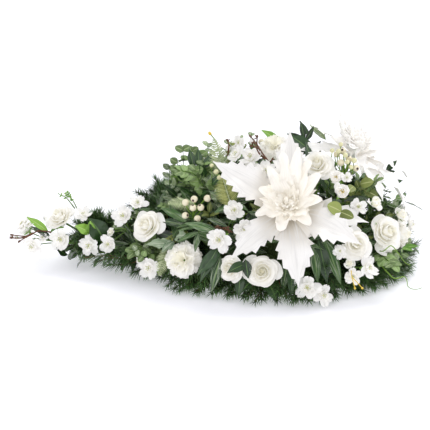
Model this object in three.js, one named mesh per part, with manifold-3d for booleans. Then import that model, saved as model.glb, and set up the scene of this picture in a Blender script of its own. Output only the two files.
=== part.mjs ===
// A teardrop-shaped funeral arrangement of artificial flowers, in millimetres, +Z up.
// +X runs from the thin tail to the round head, and the arrangement stands on its backing board at Z = 0.
// A domed foam core on the board holds every stem in a hole of its own. Two large serrated-leaf flowers,
// roses, blossom twigs, berries, eucalyptus, ferns and fir fan out of it.
import * as THREE from "three";
import { mergeVertices } from "three/addons/utils/BufferGeometryUtils.js";
import Module from "manifold-3d";

const wasm = await Module();
wasm.setup();
const { Manifold, Mesh } = wasm;

// Driving dimensions of the base.
const BOARD_THICKNESS = 5;
const FOAM_TAIL_X = -150; // the pointed end of the foam
const FOAM_HEAD_X = 160; // the centre of the round end
const FOAM_HEAD_RADIUS = 140;
const FOAM_TAIL_HEIGHT = 56;
const FOAM_HEAD_HEIGHT = 145;
const FOAM_SECTIONS = 8;
const FOAM_ARC_POINTS = 6;
const BOARD_MARGIN = 6;

// Driving dimensions of what is pushed into it.
const GAP = 0.35; // kept between two pieces that touch
const STEM_DEPTH = 24; // how far a stem goes into the foam
const STEM_SIDES = 3;
const STEM_RADIUS = 2;
const THICK_STEM_RADIUS = 3;
const WIRE_RADIUS = 3;
const TWIG_RADIUS = 1.4;
const TWIG_SLANT = 0.25; // how far towards the foam a twig leaves its stem
const PETAL_THICKNESS = 1;
const LEAF_THICKNESS = 1;
const BERRY_RADIUS = 6.4;
const NEEDLE_LENGTH = 21;
const NEEDLE_RADIUS = 0.75;
const NEEDLES_A_SPRIG = 5;
const GARLAND_HEIGHT = 20;
const GARLAND_OFFSET = 4; // from the foam's wall to the garland's wire
const FLOOR_CLEARANCE = 1; // nothing but the board comes closer to the surface than this
const GOLDEN_ANGLE = Math.PI * (3 - Math.sqrt(5));

const V = (x, y, z) => new THREE.Vector3(x, y, z);
const point = (list) => V(...list);
const mix = (a, b, t) => a + (b - a) * t;

// While this is above zero, every piece is made that much fatter, to cut its own place out of a neighbour.
let grown = 0;

// Solids

function solidOf(geometry) {
  const bare = new THREE.BufferGeometry();
  bare.setAttribute("position", geometry.getAttribute("position"));
  bare.setIndex(geometry.index);
  const merged = mergeVertices(bare, 1e-3);
  return new Manifold(
    new Mesh({
      numProp: 3,
      vertProperties: new Float32Array(merged.attributes.position.array),
      triVerts: new Uint32Array(merged.index.array),
    }),
  );
}

function solidFrom(points, faces) {
  const geometry = new THREE.BufferGeometry().setFromPoints(points);
  geometry.setIndex(faces.flat());
  return solidOf(geometry);
}

// The normal of a grid of points at one of them, from its neighbours along and across.
function normalAt(rows, i, j) {
  const at = (r, c) => rows[r][Math.min(c, rows[r].length - 1)];
  const wide = Math.max(...rows.map((row) => row.length)) - 1;
  const column = rows[i].length === 1 ? Math.round(wide / 2) : j;
  const before = Math.max(i - 1, 0);
  const after = Math.min(i + 1, rows.length - 1);
  const along = at(after, column).clone().sub(at(before, column));
  const spread = rows[i].length > 1 ? i : i === 0 ? 1 : i - 1;
  const left = Math.max(column - 1, 0);
  const across = at(spread, Math.min(column + 1, wide)).clone().sub(at(spread, left));
  return along.cross(across).normalize();
}

// A thin blade over a grid of points, sharp at its rim. A row of one point is a pointed end.
// Both faces are split into the same triangles.
function blade(rows, thickness) {
  const points = [];
  const upper = [];
  const lower = [];
  const lastRow = rows.length - 1;
  rows.forEach((row, i) => {
    upper.push([]);
    lower.push([]);
    row.forEach((p, j) => {
      const lastColumn = row.length - 1;
      const rim = i === 0 || i === lastRow || j === 0 || j === lastColumn;
      const lift = normalAt(rows, i, j).multiplyScalar(rim ? grown : thickness / 2 + grown);
      const place = p.clone();
      if (rim && grown > 0) place.add(outward(rows, i, j).multiplyScalar(grown));
      upper[i].push(points.push(place.clone().add(lift)) - 1);
      lower[i].push(rim && grown === 0 ? upper[i][j] : points.push(place.clone().sub(lift)) - 1);
    });
  });
  const faces = [];
  const face = (a, b, c) => {
    faces.push([upper[a[0]][a[1]], upper[b[0]][b[1]], upper[c[0]][c[1]]]);
    faces.push([lower[c[0]][c[1]], lower[b[0]][b[1]], lower[a[0]][a[1]]]);
  };
  const wall = (a, b) => {
    if (grown === 0) return;
    faces.push([upper[b[0]][b[1]], upper[a[0]][a[1]], lower[a[0]][a[1]]]);
    faces.push([upper[b[0]][b[1]], lower[a[0]][a[1]], lower[b[0]][b[1]]]);
  };
  for (let i = 0; i < lastRow; i++) {
    const here = rows[i].length - 1;
    const next = rows[i + 1].length - 1;
    for (let j = 0; j < Math.max(here, next); j++) {
      if (next > 0) face([i, Math.min(j, here)], [i + 1, j], [i + 1, j + 1]);
      if (here > 0) face([i, j], [i + 1, Math.min(j + 1, next)], [i, j + 1]);
    }
    wall([i, 0], [i + 1, 0]);
    wall([i + 1, next], [i, here]);
  }
  for (let j = 0; j < rows[0].length - 1; j++) wall([0, j + 1], [0, j]);
  for (let j = 0; j < rows[lastRow].length - 1; j++) wall([lastRow, j], [lastRow, j + 1]);
  return solidFrom(points, faces);
}

// The direction from the middle of a blade to a point of its rim.
function outward(rows, i, j) {
  const inner = Math.min(Math.max(i, 1), rows.length - 2);
  const row = rows[inner];
  const column = Math.min(Math.max(j, 1), row.length - 2);
  const middle = rows[i].length === 1 ? Math.floor(row.length / 2) : column;
  return rows[i][j].clone().sub(row[middle]).normalize();
}

// A stem through points, as straight pieces that meet in mitres, tapering from one radius to the other.
function stem(through, startRadius, endRadius, sides = STEM_SIDES) {
  const last = through.length - 1;
  const ways = through.slice(1).map((p, i) => p.clone().sub(through[i]).normalize());
  const first = facing(through[0], ways[0]);
  let spokes = [];
  for (let k = 0; k < sides; k++) {
    const turn = (2 * Math.PI * k) / sides;
    spokes.push(V(Math.cos(turn), Math.sin(turn), 0).transformDirection(first));
  }
  const points = [];
  const faces = [];
  for (let i = 0; i <= last; i++) {
    const [before, after] = [ways[Math.max(i - 1, 0)], ways[Math.min(i, last - 1)]];
    const mitre = before.clone().add(after).normalize();
    const slide = (spoke) => -spoke.dot(mitre) / before.dot(mitre);
    const slid = spokes.map((spoke) => spoke.clone().addScaledVector(before, slide(spoke)));
    const centre = through[i].clone().addScaledVector(before, i === 0 ? -grown : i === last ? grown : 0);
    const radius = mix(startRadius, endRadius, i / last) + grown / Math.cos(Math.PI / sides);
    points.push(...slid.map((spoke) => centre.clone().addScaledVector(spoke, radius)));
    spokes = slid.map((spoke) => spoke.clone().addScaledVector(after, -spoke.dot(after)));
  }
  for (let i = 0; i < last; i++)
    for (let k = 0; k < sides; k++) {
      const [one, next] = [i * sides + k, i * sides + ((k + 1) % sides)];
      faces.push([one, next, next + sides], [one, next + sides, one + sides]);
    }
  for (let k = 1; k < sides - 1; k++) {
    const end = last * sides;
    faces.push([0, k + 1, k], [end, end + k, end + k + 1]);
  }
  return solidFrom(points, faces);
}

// The point a share of the way along a run of straight pieces, each piece counting the same.
function pointOn(through, share) {
  const at = THREE.MathUtils.clamp(share, 0, 1) * (through.length - 1);
  const first = Math.min(Math.floor(at), through.length - 2);
  return through[first].clone().lerp(through[first + 1], at - first);
}

// The point of a run of straight pieces that is nearest to a given one.
function nearestOn(through, to) {
  let best = through[0];
  for (let k = 0; k < through.length - 1; k++) {
    const near = new THREE.Line3(through[k], through[k + 1]).closestPointToPoint(to, true, V(0, 0, 0));
    if (near.distanceTo(to) < best.distanceTo(to)) best = near;
  }
  return best;
}

function ball(centre, radius) {
  return solidOf(new THREE.IcosahedronGeometry(radius + 1.2 * grown, 0)).translate(centre.toArray());
}

// A slim three-sided needle that starts inside what carries it.
function needle(from, direction, length) {
  const cone = new THREE.ConeGeometry(NEEDLE_RADIUS + 2 * grown, length + 2 * grown, 3);
  cone.translate(0, length / 2, 0);
  cone.applyQuaternion(new THREE.Quaternion().setFromUnitVectors(V(0, 1, 0), direction));
  cone.translate(...from.toArray());
  return solidOf(cone);
}

// A few-sided solid of revolution about Z.
// Its profile is a list of [distance from the axis, height], in shares of a size.
function turned(profile, size, sides) {
  const middle = (profile[0][1] + profile[profile.length - 1][1]) / 2;
  const outline = profile.map(([r, z]) => {
    const along = r === 0 ? Math.sign(z - middle) * grown : 0;
    return new THREE.Vector2(r * size + (r ? grown / Math.cos(Math.PI / sides) : 0), z * size + along);
  });
  return solidOf(new THREE.LatheGeometry(outline, sides).rotateX(Math.PI / 2));
}

const fuse = (solids) => Manifold.union(solids);
const placed = (solid, matrix) => solid.transform(matrix.toArray());

// A frame at a point, its Z along a direction and its Y as near to straight up as that allows.
function facing(at, direction, turn = 0) {
  const z = direction.clone().normalize();
  const up = Math.abs(z.z) > 0.97 ? V(0, 1, 0) : V(0, 0, 1);
  const x = up.cross(z).normalize();
  const y = z.clone().cross(x);
  const matrix = new THREE.Matrix4().makeBasis(x, y, z).setPosition(at);
  return matrix.multiply(new THREE.Matrix4().makeRotationZ(turn));
}

// The base

// Half the width of the foam at X: a straight taper from the tail that runs into the round head.
function foamHalfWidth(x) {
  const reach = FOAM_HEAD_X - FOAM_TAIL_X;
  const tangent = Math.asin(FOAM_HEAD_RADIUS / reach);
  const meetX = FOAM_HEAD_X - FOAM_HEAD_RADIUS * Math.sin(tangent);
  if (x < meetX) return Math.max(0, (x - FOAM_TAIL_X) * Math.tan(tangent));
  return Math.sqrt(Math.max(0, FOAM_HEAD_RADIUS ** 2 - (x - FOAM_HEAD_X) ** 2));
}

function foamHeight(x) {
  const along = THREE.MathUtils.clamp((x - FOAM_TAIL_X) / (FOAM_HEAD_X - FOAM_TAIL_X), 0, 1);
  const fall = THREE.MathUtils.smoothstep(x, FOAM_HEAD_X, FOAM_HEAD_X + 1.6 * FOAM_HEAD_RADIUS);
  const rise = Math.sin((Math.PI / 2) * along);
  return mix(FOAM_TAIL_HEIGHT, FOAM_HEAD_HEIGHT, rise) * (1 - 0.75 * fall);
}

const insideFoam = (p) =>
  p.z > BOARD_THICKNESS &&
  (p.y / Math.max(foamHalfWidth(p.x), 0.1)) ** 2 + (p.z / foamHeight(p.x)) ** 2 < 1;

function foamCore() {
  const points = [];
  const faces = [];
  const [start, end] = [FOAM_TAIL_X + 8, FOAM_HEAD_X + 0.985 * FOAM_HEAD_RADIUS];
  for (let i = 0; i < FOAM_SECTIONS; i++) {
    const x = mix(start, end, (1 - Math.cos((Math.PI * i) / (FOAM_SECTIONS - 1))) / 2);
    const [wide, high] = [foamHalfWidth(x), foamHeight(x) - BOARD_THICKNESS];
    for (let k = 0; k < FOAM_ARC_POINTS; k++) {
      const turn = (Math.PI * k) / (FOAM_ARC_POINTS - 1);
      points.push(V(x, -wide * Math.cos(turn), BOARD_THICKNESS + high * Math.sin(turn)));
    }
  }
  const ring = FOAM_ARC_POINTS;
  for (let i = 0; i < FOAM_SECTIONS - 1; i++)
    for (let k = 0; k < ring; k++) {
      const [a, b] = [i * ring + k, i * ring + ((k + 1) % ring)];
      faces.push([a, a + ring, b + ring], [a, b + ring, b]);
    }
  const far = (FOAM_SECTIONS - 1) * ring;
  for (let k = 1; k < ring - 1; k++) faces.push([0, k, k + 1], [far, far + k + 1, far + k]);
  return solidFrom(points, faces);
}

function backingBoard() {
  const outline = new THREE.Shape();
  const steps = 16;
  for (let side = -1; side <= 1; side += 2)
    for (let i = 0; i < steps; i++) {
      const share = side < 0 ? i / steps : 1 - i / steps;
      const x = mix(FOAM_TAIL_X, FOAM_HEAD_X + FOAM_HEAD_RADIUS, (1 - Math.cos(Math.PI * share)) / 2);
      const stretch = 1 + BOARD_MARGIN / FOAM_HEAD_RADIUS;
      const spot = [FOAM_HEAD_X + (x - FOAM_HEAD_X) * stretch, side * foamHalfWidth(x) * stretch];
      if (side < 0 && i === 0) outline.moveTo(...spot);
      else outline.lineTo(...spot);
    }
  outline.closePath();
  return solidOf(new THREE.ExtrudeGeometry(outline, { depth: BOARD_THICKNESS, bevelEnabled: false }));
}

// Where a stem that comes from a flower ends in the foam.
function footOf(from) {
  const aimX = THREE.MathUtils.clamp(from.x, FOAM_TAIL_X + 60, FOAM_HEAD_X + 70);
  const aim = V(aimX, 0.3 * from.y, 0.3 * from.z + 8);
  const way = aim.clone().sub(from);
  const length = way.length();
  way.normalize();
  let along = 0;
  while (along < length && !insideFoam(from.clone().addScaledVector(way, along))) along += 1;
  return from.clone().addScaledVector(way, along + STEM_DEPTH);
}

// The points of a stem from behind a flower down to a foot. It leaves along the flower's own axis.
function stemPath(from, axis, foot = footOf(from)) {
  const run = from.distanceTo(foot);
  const bend = from.clone().addScaledVector(axis, -0.3 * run).lerp(from.clone().lerp(foot, 0.45), 0.6);
  return [from, bend, foot];
}

const rootedStem = (from, axis, radius) => stem(stemPath(from, axis), radius, radius);

// Leaves

// A leaf that grows along X from the origin and faces Z. Bend is how far it curls over its length.
function leaf({ length, width, bend = 0.5, keel = 0.12, fullest = 0.45, rounded = 0, steps = 3 }) {
  const rows = [];
  let [x, z] = [0, 0];
  for (let i = 0; i <= steps; i++) {
    const along = i / steps;
    const shape = Math.sin(Math.PI * along ** (Math.log(0.5) / Math.log(fullest)));
    const half = (width / 2) * Math.max(shape, 0) ** (1 - 0.5 * rounded);
    if (i === 0 || i === steps) rows.push([V(x, 0, z)]);
    else rows.push([V(x, half, z + keel * half), V(x, 0, z), V(x, -half, z + keel * half)]);
    const angle = -bend * (along + 0.5 / steps);
    x += (length / steps) * Math.cos(angle);
    z += (length / steps) * Math.sin(angle);
  }
  return blade(rows, LEAF_THICKNESS);
}

// A frame at a stem's side: X points away along the leaf, Z is the side that it shows.
function leafFrame(at, along, show) {
  const x = along.clone().normalize();
  const y = show.clone().cross(x).normalize();
  return new THREE.Matrix4().makeBasis(x, y, x.clone().cross(y)).setPosition(at);
}

// A leaf from one point towards another, showing a given side.
function leafTo(from, to, width, show, more = {}) {
  const along = to.clone().sub(from);
  return placed(leaf({ length: along.length(), width, ...more }), leafFrame(from, along, show));
}

// Flowers

// One rose petal: a patch of a cup round the Z axis. Open runs from 0, wrapped tight, to 1, laid back.
// Its rows are given as [distance from the axis, height, half angle], in shares of the bloom's radius.
function rosePetal(radius, open, turn, ruffle) {
  const columns = open > 0.45 ? 3 : 2;
  const foot = [mix(0.06, 0.1, open), 0.08];
  const belly = [mix(0.25, 0.66, open), mix(0.5, 0.16, open), mix(1.15, 0.8, open)];
  const rim = [mix(0.17, 0.96, open), mix(0.84, 0.48, open), mix(0.75, 0.6, open)];
  const rows = [belly, rim].map(([r, z, half], i) => {
    const row = [];
    for (let j = 0; j <= columns; j++) {
      const swing = turn + half * mix(-1, 1, j / columns);
      const middle = j > 0 && j < columns ? 0.07 : 0;
      const wave = i * (middle + ruffle * (j % 2 ? 1 : -1));
      row.push(V(radius * r * Math.cos(swing), radius * r * Math.sin(swing), radius * (z + wave)));
    }
    return row;
  });
  rows.unshift([V(radius * foot[0] * Math.cos(turn), radius * foot[0] * Math.sin(turn), radius * foot[1])]);
  return blade(rows, PETAL_THICKNESS);
}

// A bloom with its petals in a spiral round a bud, facing Z, its middle at the origin.
function rose({ radius, petals, ruffle = 0 }) {
  const parts = [turned([[0, -0.06], [0.24, 0.1], [0, 0.84]], radius, 5)];
  for (let k = 0; k < petals; k++)
    parts.push(rosePetal(radius, ((k + 0.5) / petals) ** 0.9, k * GOLDEN_ANGLE, ruffle));
  return fuse(parts).translate([0, 0, -0.45 * radius]);
}

// The green cup and stem under a bloom at a place, down to the foam.
function calyx(at, axis, radius) {
  const base = at.clone().addScaledVector(axis, -0.45 * radius);
  const cup = turned([[0, -0.3], [0.12, -0.26], [0.3, 0.08], [0, 0.02]], radius, 5);
  return placed(cup, facing(base, axis));
}

// One bract of the large flower: a long leaf with saw teeth, growing along X and facing Z.
function bract({ length, width, lift, droop, teeth = 3, cup = 0.15 }) {
  const edge = [0.18];
  for (let k = 0; k < teeth; k++) {
    const at = mix(0.4, 0.74, k / Math.max(teeth - 1, 1));
    edge.push(at, at + 0.06);
  }
  const stops = teeth > 0 ? [0, ...edge, 1] : [0, 0.3, 0.7, 1];
  const rows = stops.map((along, i) => {
    const angle = lift - droop * along ** 1.3;
    const share = along * length;
    const [x, z] = [share * Math.cos(angle / 2 + lift / 2), share * Math.sin(angle / 2 + lift / 2)];
    if (i === 0 || i === stops.length - 1) return [V(x, 0, z)];
    const tooth = i === 1 ? 0.5 : teeth === 0 || i % 2 === 0 ? 1 : 0.72;
    const half = (width / 2) * Math.sin(Math.PI * along ** 0.95) ** 0.9 * tooth;
    return [V(x, half, z + cup * half), V(x, 0, z), V(x, -half, z + cup * half)];
  });
  return blade(rows, 1.2 * PETAL_THICKNESS);
}

// The bracts of the large flower round a small hub.
// Each bract is [turn in degrees, length, width, lift, droop, teeth].
function bracts(list) {
  const hub = ball(V(0, 0, -3), 11);
  return fuse([hub, ...list.map(([turn, length, width, lift, droop, teeth]) =>
    bract({ length, width, lift, droop, teeth }).translate([3, 0, 0]).rotate([0, 0, turn]))]);
}

// The crumpled cream middle of the large flower: a ring of narrow upright blades.
function flowerMiddle(strands, tall) {
  const parts = [ball(V(0, 0, 10), 9)];
  for (let k = 0; k < strands; k++) {
    const swing = k * GOLDEN_ANGLE;
    const spread = mix(0.1, 0.9, k / strands);
    const away = V(Math.cos(swing) * spread, Math.sin(swing) * spread, 1).normalize();
    const side = V(-Math.sin(swing), Math.cos(swing), 0);
    const out = V(Math.cos(swing), Math.sin(swing), 0);
    const root = V(0, 0, 10).addScaledVector(out, 3 + 2 * spread);
    const size = tall * mix(1, 0.75, spread);
    const rows = [0, 0.6, 1].map((along) => {
      const centre = root.clone().addScaledVector(away, size * along).addScaledVector(out, 9 * along * along);
      if (along === 0) return [centre];
      const half = along === 1 ? 4 : 6.5;
      const wave = along === 1 ? 3 : 1;
      return [-1, 0, 1].map((s) =>
        centre.clone().addScaledVector(side, half * s).addScaledVector(out, wave * s * s));
    });
    parts.push(blade(rows, PETAL_THICKNESS));
  }
  return fuse(parts);
}

// A small open blossom with five notched lobes, facing Z, its middle at the origin.
function blossom(radius) {
  const points = [];
  const rim = [];
  const lobes = 5;
  for (let k = 0; k < lobes; k++) {
    const at = (turn, share, height) => V(
      (radius * share + grown) * Math.cos(turn), (radius * share + grown) * Math.sin(turn), radius * height,
    );
    const turn = (2 * Math.PI * k) / lobes;
    rim.push(at(turn, 0.42, 0.1), at(turn + 0.36, 0.95, 0.42), at(turn + 0.9, 0.95, 0.42));
  }
  const hubs = [V(0, 0, -0.25 * radius - grown), V(0, 0, 0.12 * radius + grown)];
  points.push(...hubs, ...rim);
  const faces = [];
  for (let k = 0; k < rim.length; k++) {
    const [a, b] = [2 + k, 2 + ((k + 1) % rim.length)];
    faces.push([1, a, b], [0, b, a]);
  }
  return solidFrom(points, faces);
}

// A closed bud, facing Z, its foot at the origin.
const bud = (radius) => turned([[0, 0], [0.95, 0.9], [0.55, 1.9], [0, 2.3]], radius, 4);

// Sprays

// A stem through the given points into the foam, with twigs to its heads.
// Each head is [kind, place, facing, size].
function spray(heads, { through, leaves = [], radius = TWIG_RADIUS }) {
  const path = through.map(point);
  path.push(footOf(path[path.length - 1]));
  const foot = path[path.length - 1];
  const parts = [stem(path, 1.3 * radius, 1.3 * radius)];
  for (const [kind, place, look, size] of heads) {
    const at = point(place);
    const axis = point(look).normalize();
    const frame = facing(at, axis, size);
    const beside = V(0, 1, 0).transformDirection(frame).multiplyScalar(0.3 * size);
    const seat = kind === "blossom" ? at.clone().add(beside) : at.clone().addScaledVector(axis, 0.4 * size);
    const start = nearestOn(path, seat.clone().lerp(foot, TWIG_SLANT));
    parts.push(stem([start, seat], radius, 0.8 * radius));
    if (kind === "berry") parts.push(ball(at, size));
    else parts.push(placed(kind === "bud" ? bud(size) : blossom(size), frame));
  }
  for (const [from, to, width] of leaves)
    parts.push(leafTo(nearestOn(path, point(from)), point(to), width, V(0, -0.3, 1)));
  return fuse(parts);
}

// The leafy twigs that a stem carries: folded blades with the outline of a twig and its small leaves.
function leafyTwigs(owner, path) {
  if (!TWIGS[owner]) return [];
  const root = nearestOn(path, point(TWIGS[owner].root));
  return TWIGS[owner].tips.map(([x, y, z, width]) =>
    leafTo(root, V(x, y, z), width, V(0, 0.5 * Math.sign(y), 1), { steps: 2, bend: 0.3, keel: 0.2 }));
}

// A stem with pairs of leaves along it, from the foam out to a tip.
function leafyStem(name, plan) {
  const { from, tip, pairs, length, width, rounded = 0, bend = 0.5, arch = 18, show = V(0, -0.4, 1) } = plan;
  const [start, end] = [point(from), point(tip)];
  const lifted = start.clone().lerp(end, 0.5).add(V(0, 0, arch));
  const path = [footOf(start), start, lifted, end];
  const parts = [stem(path, STEM_RADIUS, 0.6 * STEM_RADIUS), ...leafyTwigs(name, path)];
  for (let k = 0; k < pairs; k++) {
    const along = mix(0.45, 0.95, pairs > 1 ? k / (pairs - 1) : 1);
    const at = pointOn(path, along);
    const way = pointOn(path, along + 0.02).sub(pointOn(path, along - 0.02)).normalize();
    const side = way.clone().cross(show).normalize();
    const face = side.clone().cross(way).normalize();
    const size = mix(1, 0.7, k / pairs);
    for (const hand of [-1, 1]) {
      const out = way.clone().multiplyScalar(0.7).addScaledVector(side, hand).addScaledVector(face, 0.25);
      const one = leaf({ length: length * size, width: width * size, rounded, bend });
      parts.push(placed(one, leafFrame(at, out, face)));
    }
  }
  const way = end.clone().sub(lifted).normalize();
  const topLeaf = leaf({ length: 0.8 * length, width: 0.7 * width, rounded, bend });
  parts.push(placed(topLeaf, leafFrame(end.clone().addScaledVector(way, -3), way, show)));
  return fuse(parts);
}

// A fern: an arched blade whose rim is cut into leaflets, on a stalk into the foam.
function fern({ from, tip, width, show = V(0, -0.5, 1), leaflets = 7 }) {
  const [start, end] = [point(from), point(tip)];
  const along = end.clone().sub(start);
  const stops = 2 * leaflets;
  const rows = [];
  for (let i = 0; i <= stops; i++) {
    const share = i / stops;
    const half = (width / 2) * Math.sin(Math.PI * (0.12 + 0.88 * share) ** 0.8) ** 0.8;
    const reach = i % 2 ? half : 0.3 * half;
    const x = along.length() * share;
    const arch = 0.12 * along.length() * Math.sin(Math.PI * share);
    if (i === 0 || i === stops) rows.push([V(x, 0, arch)]);
    else rows.push([reach, 0, -reach].map((y) => V(x + 0.3 * Math.abs(y), y, y ? arch - 1 : arch)));
  }
  const frond = placed(blade(rows, 1.2 * LEAF_THICKNESS), leafFrame(start, along, show));
  const inside = start.clone().addScaledVector(along, 0.12).addScaledVector(show, 0.3);
  return fuse([frond, rootedStem(inside, along.clone().normalize(), STEM_RADIUS)]);
}

// A fir sprig along X from the origin: a square core with a needle out of the middle of a face at each step.
// Floor is how far below the sprig's root its needles may reach, in the direction given as down.
function sprig(length, first, down, floor) {
  const core = new THREE.CylinderGeometry(1.3 + grown, 1.9 + grown, length + 2 * grown, 4, 1);
  core.rotateY(Math.PI / 4).translate(0, length / 2, 0).rotateZ(-Math.PI / 2);
  const parts = [solidOf(core)];
  for (let k = 0; k < NEEDLES_A_SPRIG; k++) {
    const along = mix(0.26, 0.95, k / (NEEDLES_A_SPRIG - 1));
    const turn = (Math.PI / 2) * (k + first) + 0.2 * Math.sin(5 * k + first);
    const aim = V(0.8, Math.cos(turn), Math.sin(turn)).normalize();
    const at = V(along * length, 0, 0);
    const fall = aim.dot(down);
    const room = floor - at.dot(down);
    const reach = fall > 0 ? Math.min(NEEDLE_LENGTH, room / fall) : NEEDLE_LENGTH;
    if (reach > 5) parts.push(needle(at, aim, reach));
  }
  parts.push(needle(V(length - 2, 0, 0), V(1, 0, 0), 0.8 * NEEDLE_LENGTH));
  return fuse(parts);
}

// A point beside the foam's wall at a given X, on the front (-1) or the back (1) of the arrangement.
const besideFoam = ([x, side]) => V(x, side * (foamHalfWidth(x) + GARLAND_OFFSET), GARLAND_HEIGHT);

// The wire of a run of garland. One that follows the rim turns into the foam at both ends.
function garlandPath({ rim, wire }) {
  if (wire) return wire.map(point);
  const path = rim.map(besideFoam);
  for (const end of [path[0], path[path.length - 1]]) {
    const inside = V(mix(end.x, FOAM_HEAD_X, 0.12), 0.78 * end.y, end.z);
    if (end === path[0]) path.unshift(inside);
    else path.push(inside);
  }
  return path;
}

// A run of fir garland: its wire, and sprigs from it to the given tips.
function firGarland(plan) {
  const path = garlandPath(plan);
  const parts = [stem(path, WIRE_RADIUS, WIRE_RADIUS, 4)];
  plan.tips.forEach((tip, s) => {
    const end = point(tip);
    const start = nearestOn(path, end);
    const frame = leafFrame(start, end.clone().sub(start), V(0, 0, 1));
    const down = V(0, 0, -1).transformDirection(frame.clone().invert());
    parts.push(placed(sprig(start.distanceTo(end), s, down, start.z - FLOOR_CLEARANCE), frame));
  });
  return fuse(parts);
}

// The layout

// Every bloom with petals in a spiral: [name, middle, facing, radius, petals, ruffle, stem it shares].
const ROSES = [
  ["rose_top", [187, -92, 232], [-0.1, -0.6, 0.8], 33, 7, 0, "top"],
  ["carnation_top", [110, -28, 248], [-0.15, -0.45, 0.9], 29, 7, 0.07, "top"],
  ["rose_neck", [-127, -88, 112], [-0.5, -0.62, 0.6], 35, 7, 0, "neck"],
  ["rose_front", [84, -203, 66], [-0.1, -0.92, 0.38], 35, 8, 0, "front"],
  ["rose_front_side", [26, -188, 66], [-0.55, -0.78, 0.3], 27, 7, 0, "front"],
  ["rose_under_petal", [252, -186, 112], [0.2, -0.88, 0.42], 32, 7, 0, "under_petal"],
  ["rose_right", [316, -128, 112], [0.5, -0.74, 0.42], 38, 8, 0, "right"],
  ["rose_right_side", [356, -64, 84], [0.88, -0.4, 0.25], 31, 7, 0, "right"],
  ["rose_tail", [-301, -2, 98], [-0.3, -0.4, 0.86], 31, 7, 0, "tail"],
  ["carnation_neck", [-60, -152, 68], [-0.35, -0.8, 0.45], 34, 8, 0.07, "carnation"],
  ["rose_back_left", [40, 168, 108], [-0.3, 0.82, 0.5], 35, 6, 0, "back_left"],
  ["rose_back", [165, 192, 84], [0.05, 0.9, 0.42], 36, 6, 0, "back"],
  ["rose_back_right", [292, 148, 108], [0.55, 0.7, 0.45], 34, 6, 0, "back"],
];

// Green leaves that the rose stems carry: stem, root, tip, width.
const STEM_LEAVES = [
  ["front", [92, -150, 72], [112, -216, 18], 34],
  ["front", [62, -150, 80], [46, -214, 36], 22],
  ["under_petal", [236, -96, 63], [180, -212, 66], 34],
  ["tail", [-205, -2, 70], [-232, -40, 104], 34],
  ["tail", [-225, -2, 72], [-268, -34, 74], 18],
  ["top", [150, -40, 190], [172, -10, 262], 26],
  ["carnation", [-34, -110, 64], [-10, -176, 52], 30],
  ["neck", [-100, -66, 86], [-72, -128, 108], 24],
  ["back_left", [30, 130, 96], [-22, 176, 86], 26],
  ["back", [190, 140, 84], [228, 206, 62], 32],
  ["back", [200, 140, 90], [120, 196, 52], 28],
  ["right", [300, -80, 80], [352, -118, 56], 26],
];

// The two large flowers: middle, facing, and bracts as [turn, length, width, lift, droop, teeth].
const LARGE_FLOWERS = {
  front: {
    at: [130, -168, 170],
    look: [0, -0.75, 0.66],
    bracts: [
      [88, 140, 60, 0.5, 0.5, 3], [149, 156, 78, 0.35, 0.3, 3], [222, 136, 56, 0.15, 0.3, 3],
      [277, 147, 50, 0.15, 0.75, 3], [331, 142, 62, 0.25, 0.35, 3], [356, 150, 50, -0.05, 0.4, 3],
      [60, 86, 50, 1.0, 0.2, 0], [120, 84, 48, 1.0, 0.3, 0], [190, 78, 44, 0.85, 0.5, 0],
      [250, 66, 42, 0.8, 0.5, 0], [310, 70, 44, 0.85, 0.4, 0],
    ],
  },
  back: {
    at: [262, 0, 222],
    look: [0.38, -0.12, 0.92],
    bracts: [
      [27, 127, 50, 0.34, 0.4, 3], [-16, 129, 52, 0.36, 0.5, 3], [-62, 140, 58, 0.23, 0.7, 3],
      [-98, 150, 56, 0.08, 0.8, 3], [72, 113, 52, 0.22, 0.4, 3], [112, 103, 46, -0.1, 0.4, 3],
      [-128, 118, 46, 0.05, 0.6, 2],
      [20, 70, 42, 0.9, 0.3, 0], [140, 74, 42, 0.9, 0.3, 0], [-100, 64, 40, 0.8, 0.3, 0],
    ],
  },
};

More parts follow.
